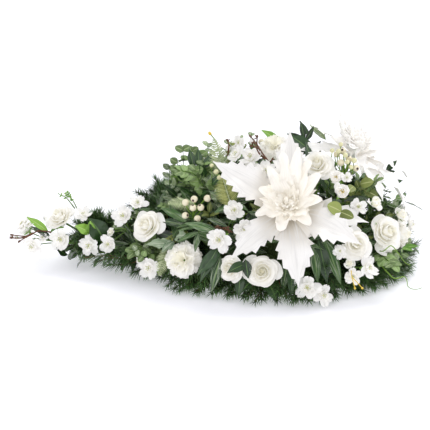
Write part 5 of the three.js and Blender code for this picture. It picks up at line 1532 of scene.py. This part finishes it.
def build_leafy_stem(name, plan, paint, more, slot):
    """A stem with pairs of leaves that grow smaller towards its tip, and one leaf at its end."""
    rng, mould = begin(name)
    start, end = vector(plan["from"]), vector(plan["tip"])
    knee = mix(start, end, 0.5) + [0, 0, plan.get("arch", 18)]
    path = np.stack([foot_of(start), start, knee, end])
    mould.stem(path, 6, (STEM_RADIUS, 0.45 * STEM_RADIUS), 7)
    add_twigs(mould, name, path, rng)
    show = plan.get("show", (0, -0.4, 1))
    length, width = plan.get("length", 26), plan.get("width", 21)
    shape = {"bend": plan.get("bend", 0.5), "rounded": plan.get("rounded", 1.0), "wave": 0.08, "size": (9, 7)}
    pairs = plan["pairs"] + more
    for k in range(pairs):
        along = mix(0.45, 0.95, k / (pairs - 1))
        way = unit(point_on(path, along + 0.02) - point_on(path, along - 0.02))
        side = unit(np.cross(way, show))
        face = np.cross(side, way)
        size = mix(1, 0.7, k / pairs)
        ways = 0.7 * way + [[-1.0], [1.0]] * side + 0.25 * face + rng.normal(0, 0.13, (2, 3))
        add_leaves(mould, point_on(path, along), ways, face + rng.normal(0, 0.15, (2, 3)), length * size,
                   width * size, paint, rng, **shape)
    way = unit(end - knee)
    add_leaves(mould, end - 3 * way, way, show, 0.8 * length, 0.7 * width, paint, rng, **shape)
    mould.cast(f"leaves_{name}", slot, name)


def build_fern(name, plan):
    """A fern frond: a rib arched as half a sine, with narrow leaflets on both sides, whose reach follows a
    skewed sine."""
    rng, mould = begin(name)
    start, way = vector(plan["from"]), vector(plan["tip"]) - plan["from"]
    long = np.linalg.norm(way)
    place = leaf_frames(start, way, plan["show"])

    def rib(s):
        """Points on the rib."""
        return np.stack([long * s, 0 * s, FERN_ARCH * long * np.sin(math.pi * s)], -1)

    mould.tubes(put(rib(np.linspace(0, 1, 40))[None], place), np.linspace(1.1, 0.4, 40), 5, "fern_leaf")
    stalk = start + 0.12 * way + 0.3 * vector(plan["show"])
    mould.stem(stem_path(stalk, way), 6, 1.2, 5)
    s = np.repeat(np.linspace(0.05, 0.97, 17), 2)
    reach = plan["width"] / 2 * 1.12 * np.sin(math.pi * (0.12 + 0.88 * s) ** 0.8) ** 0.8 + 2
    ways = np.stack([0.55 + 0 * s, np.tile([-1.0, 1.0], 17), 0.08 * rng.normal(0, 1, len(s))], -1)
    grid = leaf_grid(reach * 1.15, 0.038 * long + 0.5 + 0 * s, bend=0.5, keel=0.2, fullest=0.3, size=(6, 3))
    leaflets = put(grid, leaf_frames(rib(s), ways, [0, 0, 1]))
    leaflets = put(leaflets.reshape(1, -1, 3), place).reshape(leaflets.shape)
    mould.blades(leaflets, 0.4, plan.get("paint", "fern_leaf"), rng.uniform(0, 1, len(s)))
    mould.cast(f"frond_{name}", "sage", *([] if plan.get("extra") else [name]))


def garland_wire(plan):
    """A garland's wire: as given, or round the foam a little off its rim, with both ends drawn inwards."""
    if "wire" in plan:
        return vector(plan["wire"])
    x, side = vector(plan["rim"]).T
    rim = np.stack([x, side * (foam_half_width(x) + GARLAND_OFFSET), 0 * x + GARLAND_HEIGHT], -1)
    first, last = mix(rim[[0, -1]], [FOAM_HEAD_X, 0, GARLAND_HEIGHT], [0.12, 0.22, 0])
    return np.stack([first, *rim, last])


def own_sprigs(plan):
    """Roots and tips of the sprigs that a run names, or of those in front of it, mirrored to the back."""
    if "mirror" in plan:
        return own_sprigs(GARLANDS[plan["mirror"]]) * [1, -1, 1]
    return vector(plan["sprigs"]).reshape(-1, 2, 3)


def sprig_tips(plan, count, rng):
    """Where sprigs end: along the run of tips from the drawing, most near it, and some drawn back and
    raised."""
    tips = vector(plan["tips"])
    curve = points_on(tips, np.linspace(0, 1, count))
    curve = mix(curve, tips.mean(0) * [0.7, 0.7, 0.4], plan.get("drawn", 0))
    back = rng.choice([0.0, 0.15, 0.35, 0.6], count)[:, None]
    wire = garland_wire(plan)
    roots = np.stack([nearest_on(wire, tip) for tip in curve])
    spread = curve + rng.normal(0, 1, (count, 3)) * [9, 9, 4]
    if "rim" in plan:
        spread += 11 * unit((curve - [FOAM_HEAD_X, 0, 0]) * [0.7, 1, 0]) - [0, 0, 4]
    fan = rng.uniform(0, 1, (count, 1)) ** 1.5 * plan.get("fan", GARLAND_FAN)
    raised = mix(spread, roots, back) + vector([0, 0, 1]) * (fan + back * rng.uniform(20, 60, (count, 1)))
    return np.concatenate([tips, raised])


def build_garland(name, plan, sizes):
    """A run of fir: brown wire, sprigs towards their tips, and needles that stand off each sprig in a
    spiral of the golden angle, leaning forwards, longest in its middle."""
    rng, mould = begin(name)
    wire = garland_wire(plan)
    mould.stem(wire, 5, WIRE_RADIUS * 0.8, 7, "fir_wire")
    tips = sprig_tips(plan, round(plan.get("share", 1) * sizes.sprigs), rng)
    tips[:, 2] = np.maximum(tips[:, 2], SPRIG_CLEARANCE)
    roots = np.stack([nearest_on(wire, tip) for tip in tips])
    roots += rng.normal(0, 4, roots.shape) * [1, 1, 0.3]
    own = own_sprigs(plan)
    roots, tips = np.concatenate([roots, own[:, 0]]), np.concatenate([tips, own[:, 1]])
    kept = ~in_the_way(tips) | (np.arange(len(tips)) < len(plan["tips"]))
    roots, tips = roots[kept], tips[kept]
    sag = rng.uniform(-5, 7, (len(tips), 1)) * [0, 0, 1]
    paths = np.stack([roots, mix(roots, tips, 0.5) + sag, tips], 1)
    bends = np.stack([smooth_path(path, 4) for path in paths])
    mould.tubes(bends, np.linspace(1.5, 0.6, bends.shape[1]), 4, "fir_wire")
    needles = sizes.needles
    share = np.linspace(0.12, 1, needles)
    at = share * (bends.shape[1] - 1)
    first = np.minimum(at.astype(int), bends.shape[1] - 2)
    part = (at - first)[:, None]
    spine = bends[:, first] * (1 - part) + bends[:, first + 1] * part
    way = unit(bends[:, first + 1] - bends[:, first])
    side = unit(np.cross(way, [[[0, 0, 1.0]]]))
    turn = GOLDEN_ANGLE * np.arange(needles) + rng.uniform(0, 6.3, (len(tips), 1))
    spin = round_about(turn, side, np.cross(side, way))
    lean = mix(0.5, 1.5, share**2)[:, None]
    aim = unit(spin + lean * way + rng.normal(0, 0.12, spine.shape))
    long = sizes.needle_length / MM * (0.72 + 0.35 * np.sin(math.pi * share**0.8))
    long = long * rng.uniform(0.8, 1.1, turn.shape)
    ends = spine + aim * long[..., None]
    ends[..., 2] = np.maximum(ends[..., 2], FLOOR_CLEARANCE)
    tone = np.clip(rng.uniform(0, 1, turn.shape) * 0.6 + rng.uniform(0, 0.4, (len(tips), 1)), 0, 1)
    clear = ~in_the_way(ends.reshape(-1, 3))
    spine, ends, tone = spine.reshape(-1, 3)[clear], ends.reshape(-1, 3)[clear], tone.ravel()[clear]
    mould.needles(spine, ends, NEEDLE_WIDTH, "fir_needle", tone)
    mould.cast(f"needles_{name}", "fir", name)


def bloom_discs():
    """Middle, facing and radius of every head that greenery keeps clear of."""
    discs = [(at, look, radius) for _, at, look, radius, _ in ROSES]
    discs += [(plan["at"], plan["look"], plan["clear"]) for plan in LARGE_FLOWERS.values()]
    discs += [(at, look, 0.9 * size) for plan in SPRAYS.values() for at, look, size, *_ in plan["heads"]]
    discs += [(at, (0, -0.5, 0.8), 9) for plan in BERRIES.values() for at in plan["berries"]]
    return discs


def in_the_way(points):
    """Which points stand before a bloom: over its face along its axis, or over it as the camera sees it."""
    blocked = np.zeros(len(points), bool)
    for at, look, radius in bloom_discs():
        off, look = points - at, unit(look)
        for axis, behind in ((look, 0.25), (VIEW_DEPTH, 0.0)):
            if axis @ look < 0.1:
                continue
            depth = off @ axis
            beside = np.linalg.norm(off - depth[:, None] * axis, axis=1)
            blocked |= (depth > -behind * radius) & (beside < CLEAR_MARGIN * radius)
    return blocked


def a_filler(rng):
    """One kind of filling leaf, by their shares."""
    return FILLERS[rng.choice(len(FILLERS), p=FILLER_SHARES)]


def build_greenery(name, low, high, count):
    """Leafy stems that fill the hull between two places along X. A stem leaves the foam, and ends a share
    of the way to the hull, which is an ellipse over each X. Leaves stand round its outer part by the golden
    angle."""
    rng, mould = begin(name)
    for _ in range(count):
        x = rng.uniform(low, high)
        swing = math.pi * rng.uniform(0.12, 0.88)
        wide, high_up = np.interp(x, HULL_X, HULL_HALF_WIDTH), np.interp(x, HULL_X, HULL_HEIGHT)
        reach = rng.uniform(0.62, 0.95)
        tip = vector([x, reach * wide * math.cos(swing), 8 + reach * (high_up - 8) * math.sin(swing)])
        foot = foot_of(tip)
        knee = mix(foot, tip, 0.5) + [0, 0, rng.uniform(0, 14)]
        curve = mould.stem([foot, knee, tip], 6, (1.5, 0.7), 4)
        paint, length, width, bend, rounded = a_filler(rng)
        leaves = rng.integers(6, 11)
        stops = mix(0.45, 1.0, np.linspace(0, 1, leaves))
        places = points_on(curve, stops)
        way = unit(tip - knee)
        side = unit(np.cross(way, [0.1, 0.2, 1.0]))
        out = round_about(GOLDEN_ANGLE * np.arange(leaves) + rng.uniform(0, 6.3), side, np.cross(side, way))
        ways = unit(out + mix(0.5, 1.2, stops)[:, None] * way)
        grown = length * rng.uniform(0.7, 1.1, leaves)
        ends = places + ways * grown[:, None]
        keep = ~in_the_way(ends) & ~in_the_way(mix(places, ends, 0.5)) & (ends[:, 2] > 6)
        if keep.any():
            add_leaves(mould, places[keep], ways[keep], (way + [0, -0.2, 0.5]) + 0 * ways[keep], grown[keep],
                       width * rng.uniform(0.8, 1.1, leaves)[keep], paint, rng, bend=bend, rounded=rounded,
                       wave=0.14, size=(7, 5))
    mould.cast(f"greenery_{name}", "leaf")


def build_accents():
    """Leafy sprays: a stem from the foam or from another stem, and over its outer half pairs of leaves that
    face the front, each pair turned a little from the last."""
    rng, mould = begin("accents")
    for tip, paint, length, width, pairs, *root in ACCENTS:
        tip, foot = vector(tip), vector(root[0]) if root else foot_of(tip)
        knee = mix(foot, tip, 0.55) + [0, 0, 6]
        curve = mould.stem([foot, knee, tip], 6, (1.4, 0.6), 5)
        stops = np.repeat(mix(0.5, 0.98, np.linspace(0, 1, pairs)), 2)
        way = unit(tip - knee)
        side = unit(np.cross(way, VIEW_DEPTH))
        turns = math.pi * np.tile([0.0, 1.0], pairs) + np.repeat(rng.normal(0, 0.9, pairs), 2)
        out = round_about(turns, side, np.cross(side, way))
        shows = VIEW_DEPTH + [0, 0, 0.4] + rng.normal(0, 0.55, out.shape)
        grown = length * mix(1.05, 0.75, stops) * rng.uniform(0.85, 1.15, len(stops))
        blunt = 0.2 if paint in ("fresh_leaf", "olive_leaf") else 1.0
        places, wide = points_on(curve, stops), grown * width / length
        add_leaves(mould, places, 0.6 * way + out, shows, grown, wide, paint, rng, bend=0.4, rounded=blunt,
                   wave=0.1, size=(9, 5))
    mould.cast("greenery_accents", "sage")


def add_budded_twig(mould, points, rng):
    """A brown twig with a bud at its end, and three brown scales round that."""
    curve = mould.stem(points, 5, (2.0, 1.1), 5, "brown_bark")
    way = unit(curve[-1] - curve[-3])
    mould.turned(TWIG_BUD, 2.9, 7, facing(curve[-1], way), "brown_bud", 0.6)
    ways = way + rng.normal(0, 0.5, (3, 3))
    add_leaves(mould, curve[-1] - way, ways, [0, -0.5, 1], 8, 3.4, "brown_bud", rng, size=(5, 3))


def add_green_berry(mould, at, rng):
    """A pale green berry that faces upwards, on a stalk from behind and below."""
    size = rng.uniform(4.2, 5.4)
    mould.turned(GREEN_BERRY, size, 10, facing(at, rng.normal(0, 0.4, 3) + [0, 0.2, 1]), "green_berry")
    knee = vector(at) * [1, 1, 0.92] + [0, 14, 0]
    mould.stem([knee - [0, 0, 12], knee, vector(at) - [0, 0, 3]], 4, 0.8, 5, "bright_stem")


def build_trimmings():
    """The odd pieces: a yellow bud on its stalk, budded twigs, loose leaves, green berries, tendrils,
    stamens and small blossoms."""
    rng, mould = begin("trimmings")
    mould.stem(YELLOW_BUD_STALK, 6, 1.1, 6, "bright_stem")
    for twig in BUDDED_TWIGS:
        add_budded_twig(mould, twig, rng)
    for show, finish, shape, leaves in LOOSE_LEAVES:
        for start, tip, width, *other in leaves:
            add_leaf_to(mould, start, tip, width, show, *(other or [finish]), rng, **shape)
    for berry in GREEN_BERRIES:
        add_green_berry(mould, berry, rng)
    for tendril in TENDRILS:
        mould.stem(tendril, 6, (1.1, 0.5), 5, "bright_stem")
    for stamen in LONG_STAMENS:
        curve = mould.stem(stamen, 4, 0.8, 5, "stamen_yellow")
        mould.turned(LONG_ANTHER, 2.2, 7, facing(curve[-1], curve[-1] - curve[-2]), "stamen_yellow")
    mould.turned(YELLOW_BUD, 3.4, 9, facing((-8, -20, 266), (-0.6, 0, 1)), "stamen_yellow")
    for at, look, size in LOOSE_BLOSSOMS:
        add_blossom(mould, at, look, size, rng)
    mould.cast("trimmings", "leaf")


def eased(count):
    """Shares from 0 to 1 that stand closer at both ends, by half a cosine."""
    return (1 - np.cos(math.pi * np.linspace(0, 1, count))) / 2


def build_foam():
    """The foam: rings along X, each half an ellipse over the board, roughened with moss by a few crossed
    waves."""
    mould = Mould()
    x = mix(FOAM_TAIL_X + 8, FOAM_HEAD_X + 0.985 * FOAM_HEAD_RADIUS, eased(130))[:, None]
    t = math.pi * np.linspace(0, 1, 70)[None]
    clumps = np.sin(0.31 * x + 9 * t) * np.sin(0.23 * x - 14 * t)
    pile = clumps + np.sin(0.9 * x + 31 * t) * np.sin(0.7 * x - 23 * t)
    grow = 1.3 * pile * np.sin(t)
    wide, high = foam_half_width(x), foam_height(x)
    y = (wide + grow) * np.cos(t)
    z = BOARD_THICKNESS - 0.4 + (high - BOARD_THICKNESS + grow) * np.sin(t)
    mould.lofts(np.stack(np.broadcast_arrays(x, y, z), -1)[None], "dry_moss")
    mould.cast("moss_foam_core", "foam", "foam_core")


def build_board():
    """The tray: the teardrop's outline at four heights, drawn in a little at its upper and lower edge."""
    mould = Mould()
    x = mix(FOAM_HEAD_X + FOAM_HEAD_RADIUS, FOAM_TAIL_X, eased(61))
    y = foam_half_width(x)
    grown = 1 + BOARD_MARGIN / FOAM_HEAD_RADIUS
    x, y = (np.concatenate([x, x[-2:0:-1]]) - FOAM_HEAD_X) * grown, np.concatenate([y, -y[-2:0:-1]]) * grown
    heights = vector([0, 0.9, BOARD_THICKNESS - 0.9, BOARD_THICKNESS])[:, None]
    edge = vector([0.994, 1, 1, 0.994])[:, None]
    rings = np.stack([x * edge + FOAM_HEAD_X, y * edge, heights + 0 * x], -1)
    mould.lofts(rings[None], "tray_plastic")
    mould.cast("tray_backing_board", "board", "backing_board")


def build_floor():
    """A large pale floor under the object."""
    turn = 2 * math.pi * np.arange(64) / 64
    mesh = bpy.data.meshes.new("studio_floor")
    points = np.stack([FLOOR_RADIUS * np.cos(turn), FLOOR_RADIUS * np.sin(turn), 0 * turn], -1)
    mesh.from_pydata(points.tolist(), [], [list(range(64))])
    mesh.materials.append(paint_of("studio_paper"))
    floor = bpy.data.objects.new("studio_floor", mesh)
    bpy.context.scene.collection.objects.link(floor)


def build_lights(light):
    """A pale sky all round, a soft key from the upper right behind the flowers, and a weak fill from the
    left."""
    world = bpy.data.worlds.new("studio_light")
    bpy.context.scene.world = world
    world.use_nodes = True
    backdrop = world.node_tree.nodes["Background"]
    backdrop.inputs["Color"].default_value = SKY_COLOUR
    backdrop.inputs["Strength"].default_value = light.sky
    for name, (way, spread) in SUNS.items():
        lamp = bpy.data.lights.new(name, "SUN")
        lamp.energy, lamp.angle = getattr(light, name), spread
        sun = bpy.data.objects.new(name, lamp)
        sun.rotation_euler = Vector(way).to_track_quat("Z", "Y").to_euler()
        bpy.context.scene.collection.objects.link(sun)


def build_camera():
    """The camera, as far off and as high as the photograph was taken from."""
    lens = bpy.data.cameras.new("camera")
    lens.lens, lens.sensor_width, lens.clip_end = VIEW_LENS, VIEW_SENSOR, VIEW_CLIP
    camera = bpy.data.objects.new("camera", lens)
    target = Vector(VIEW_TARGET)
    camera.location = target + VIEW_DISTANCE * Vector(VIEW_DEPTH)
    camera.rotation_euler = (camera.location - target).to_track_quat("Z", "Y").to_euler()
    bpy.context.scene.collection.objects.link(camera)
    bpy.context.scene.camera = camera
    bpy.context.scene.view_settings.view_transform = "Standard"


# The add-on


def colour_value(name, description, value):
    """A colour that the user may change."""
    return FloatVectorProperty(
        name=name, description=description, default=value, subtype="COLOR", min=0, max=1)


def length_value(name, description, value, low, high):
    """A length that the user may change."""
    return FloatProperty(name=name, description=description, default=value, min=low, max=high, unit="LENGTH")


def whole_value(name, description, value, low, high):
    """A whole number that the user may change."""
    return IntProperty(name=name, description=description, default=value, min=low, max=high)


def strength_value(name, description, value, high):
    """How strong a light is."""
    return FloatProperty(name=name, description=description, default=value, min=0, max=high)


class ArrangementColours(PropertyGroup):
    """Colours that the finishes start from."""

    petal: colour_value("Petals", "White petals of roses, blossoms and bracts", srgb(251, 249, 245))
    cream: colour_value("Cream", "Hearts of the roses and middles of the large flowers", srgb(252, 247, 236))
    berry: colour_value("Berries", "Skin of the berries", srgb(240, 233, 205))
    leaf: colour_value("Leaves", "Glossy dark leaves", srgb(40, 76, 28))
    eucalyptus: colour_value("Eucalyptus", "Round grey-green leaves", srgb(122, 150, 86))
    fir: colour_value("Fir", "Fir needles", srgb(44, 86, 34))
    paper: colour_value("Paper", "Studio floor", srgb(250, 250, 255))


class ArrangementSizes(PropertyGroup):
    """Sizes and numbers of the pieces."""

    petal_thickness: length_value("Petal thickness", "Silk of the small petals", 0.0005, 0.0002, 0.002)
    bract_thickness: length_value("Bract thickness", "Velvet of the large bracts", 0.0009, 0.0003, 0.003)
    berry_size: length_value("Berry size", "Diameter of a berry", 0.0128, 0.006, 0.02)
    needle_length: length_value("Needle length", "Longest fir needles", 0.0255, 0.008, 0.03)
    needles: whole_value("Needles", "Needles on a sprig", 62, 20, 300)
    sprigs: whole_value("Sprigs", "Extra sprigs on a run of fir", 58, 4, 60)
    rose_petals: whole_value("Rose petals", "Petals of a rose", 21, 8, 60)
    carnation_petals: whole_value("Carnation petals", "Petals of a carnation", 30, 12, 80)
    greenery: whole_value("Greenery", "Stems that fill each third", 85, 0, 300)


class ArrangementLight(PropertyGroup):
    """Strengths of the studio's light."""

    sky: strength_value("Sky", "Light from all round", 0.8, 4)
    key: strength_value("Key", "Soft light from the upper right", 1.5, 10)
    fill: strength_value("Fill", "Weak light from the front left", 0.55, 10)


class ARRANGEMENT_OT_camera(Operator):
    """Adds the camera."""

    bl_idname = "arrangement.camera"
    bl_label = "Camera"

    def execute(self, context):
        build_camera()
        return {"FINISHED"}


class ARRANGEMENT_OT_base(Operator):
    """Adds the tray and the mossy foam."""

    bl_idname = "arrangement.base"
    bl_label = "Tray and foam"

    def execute(self, context):
        build_board()
        build_foam()
        return {"FINISHED"}


class ARRANGEMENT_OT_fir(Operator):
    """Adds the runs of fir round the rim and the tail."""

    bl_idname = "arrangement.fir"
    bl_label = "Fir garlands"

    def execute(self, context):
        for name, plan in GARLANDS.items():
            build_garland(name, plan, context.scene.arrangement_sizes)
        return {"FINISHED"}


class ARRANGEMENT_OT_greenery(Operator):
    """Adds leafy stems that fill the space between the flowers."""

    bl_idname = "arrangement.greenery"
    bl_label = "Greenery"

    def execute(self, context):
        for name, (low, high, share) in GREENERY.items():
            build_greenery(name, low, high, round(share * context.scene.arrangement_sizes.greenery))
        build_accents()
        return {"FINISHED"}


class ARRANGEMENT_OT_leafy_stems(Operator):
    """Adds eucalyptus, lance leaves and the tall leaves at the top."""

    bl_idname = "arrangement.leafy_stems"
    bl_label = "Leafy stems"

    def execute(self, context):
        for name, plan in LEAFY_STEMS.items():
            if name.startswith("eucalyptus"):
                build_leafy_stem(name, plan, "eucalyptus_leaf", 3, "sage")
            else:
                build_leafy_stem(name, plan, plan.get("paint", "coated_leaf"), 2, "leaf")
        return {"FINISHED"}


class ARRANGEMENT_OT_ferns(Operator):
    """Adds the pale fern fronds."""

    bl_idname = "arrangement.ferns"
    bl_label = "Ferns"

    def execute(self, context):
        for name, plan in FERNS.items():
            build_fern(name, plan)
        return {"FINISHED"}


class ARRANGEMENT_OT_stems(Operator):
    """Adds the stems of the roses with their sepals and leaves."""

    bl_idname = "arrangement.stems"
    bl_label = "Rose stems"

    def execute(self, context):
        for stem in dict.fromkeys(rose[-1] for rose in ROSES):
            build_stem(stem)
        return {"FINISHED"}


class ARRANGEMENT_OT_roses(Operator):
    """Adds the roses and carnations."""

    bl_idname = "arrangement.roses"
    bl_label = "Roses and carnations"

    def execute(self, context):
        for name, at, look, radius, _ in ROSES:
            build_bloom(name, at, look, radius, context.scene.arrangement_sizes)
        return {"FINISHED"}


class ARRANGEMENT_OT_large_flowers(Operator):
    """Adds the two large flowers with their bracts and curled middles."""

    bl_idname = "arrangement.large_flowers"
    bl_label = "Large flowers"

    def execute(self, context):
        for side, plan in LARGE_FLOWERS.items():
            build_large_flower(f"large_flower_{side}", plan, context.scene.arrangement_sizes)
        return {"FINISHED"}


class ARRANGEMENT_OT_blossoms(Operator):
    """Adds the sprays of small blossoms and buds."""

    bl_idname = "arrangement.blossoms"
    bl_label = "Blossom sprays"

    def execute(self, context):
        for name, plan in SPRAYS.items():
            build_spray(name, plan)
        return {"FINISHED"}


class ARRANGEMENT_OT_berries(Operator):
    """Adds the berry sprays."""

    bl_idname = "arrangement.berries"
    bl_label = "Berries"

    def execute(self, context):
        for name, plan in BERRIES.items():
            build_berries(name, plan, context.scene.arrangement_sizes)
        return {"FINISHED"}


class ARRANGEMENT_OT_trimmings(Operator):
    """Adds the single leaves, twigs, tendrils and stamens."""

    bl_idname = "arrangement.trimmings"
    bl_label = "Trimmings"

    def execute(self, context):
        build_trimmings()
        return {"FINISHED"}


class ARRANGEMENT_OT_stage(Operator):
    """Adds the floor and the lights."""

    bl_idname = "arrangement.stage"
    bl_label = "Stage"

    def execute(self, context):
        build_floor()
        build_lights(context.scene.arrangement_light)
        return {"FINISHED"}


OPERATORS = (
    ARRANGEMENT_OT_camera, ARRANGEMENT_OT_base, ARRANGEMENT_OT_fir, ARRANGEMENT_OT_greenery,
    ARRANGEMENT_OT_leafy_stems, ARRANGEMENT_OT_ferns, ARRANGEMENT_OT_stems, ARRANGEMENT_OT_roses,
    ARRANGEMENT_OT_large_flowers, ARRANGEMENT_OT_blossoms, ARRANGEMENT_OT_berries, ARRANGEMENT_OT_trimmings,
    ARRANGEMENT_OT_stage,
)


class ARRANGEMENT_PT_panel(Panel):
    """Lists the sizes, colours and pieces."""

    bl_idname = "ARRANGEMENT_PT_panel"
    bl_label = "Teardrop Arrangement"
    bl_space_type = "VIEW_3D"
    bl_region_type = "UI"
    bl_category = "Arrangement"

    def draw(self, context):
        for group in GROUPS:
            values = getattr(context.scene, group)
            for name in values.bl_rna.properties.keys():
                if name not in {"rna_type", "name"}:
                    self.layout.prop(values, name)
        for operator in OPERATORS:
            self.layout.operator(operator.bl_idname)


GROUPS = {
    "arrangement_colours": ArrangementColours,
    "arrangement_sizes": ArrangementSizes,
    "arrangement_light": ArrangementLight,
}
CLASSES = (*GROUPS.values(), *OPERATORS, ARRANGEMENT_PT_panel)


def register():
    """Registers the classes and puts the property groups on the scene."""
    for made in CLASSES:
        bpy.utils.register_class(made)
    for name, group in GROUPS.items():
        setattr(bpy.types.Scene, name, PointerProperty(type=group))


def unregister():
    """Takes the property groups and the classes away again."""
    for name in GROUPS:
        delattr(bpy.types.Scene, name)
    for made in reversed(CLASSES):
        bpy.utils.unregister_class(made)


def main():
    """Makes every piece in order."""
    register()
    bpy.ops.arrangement.camera()
    bpy.ops.arrangement.base()
    bpy.ops.arrangement.fir()
    bpy.ops.arrangement.greenery()
    bpy.ops.arrangement.leafy_stems()
    bpy.ops.arrangement.ferns()
    bpy.ops.arrangement.stems()
    bpy.ops.arrangement.roses()
    bpy.ops.arrangement.large_flowers()
    bpy.ops.arrangement.blossoms()
    bpy.ops.arrangement.berries()
    bpy.ops.arrangement.trimmings()
    bpy.ops.arrangement.stage()
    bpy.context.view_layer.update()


if __name__ == "__main__":
    main()
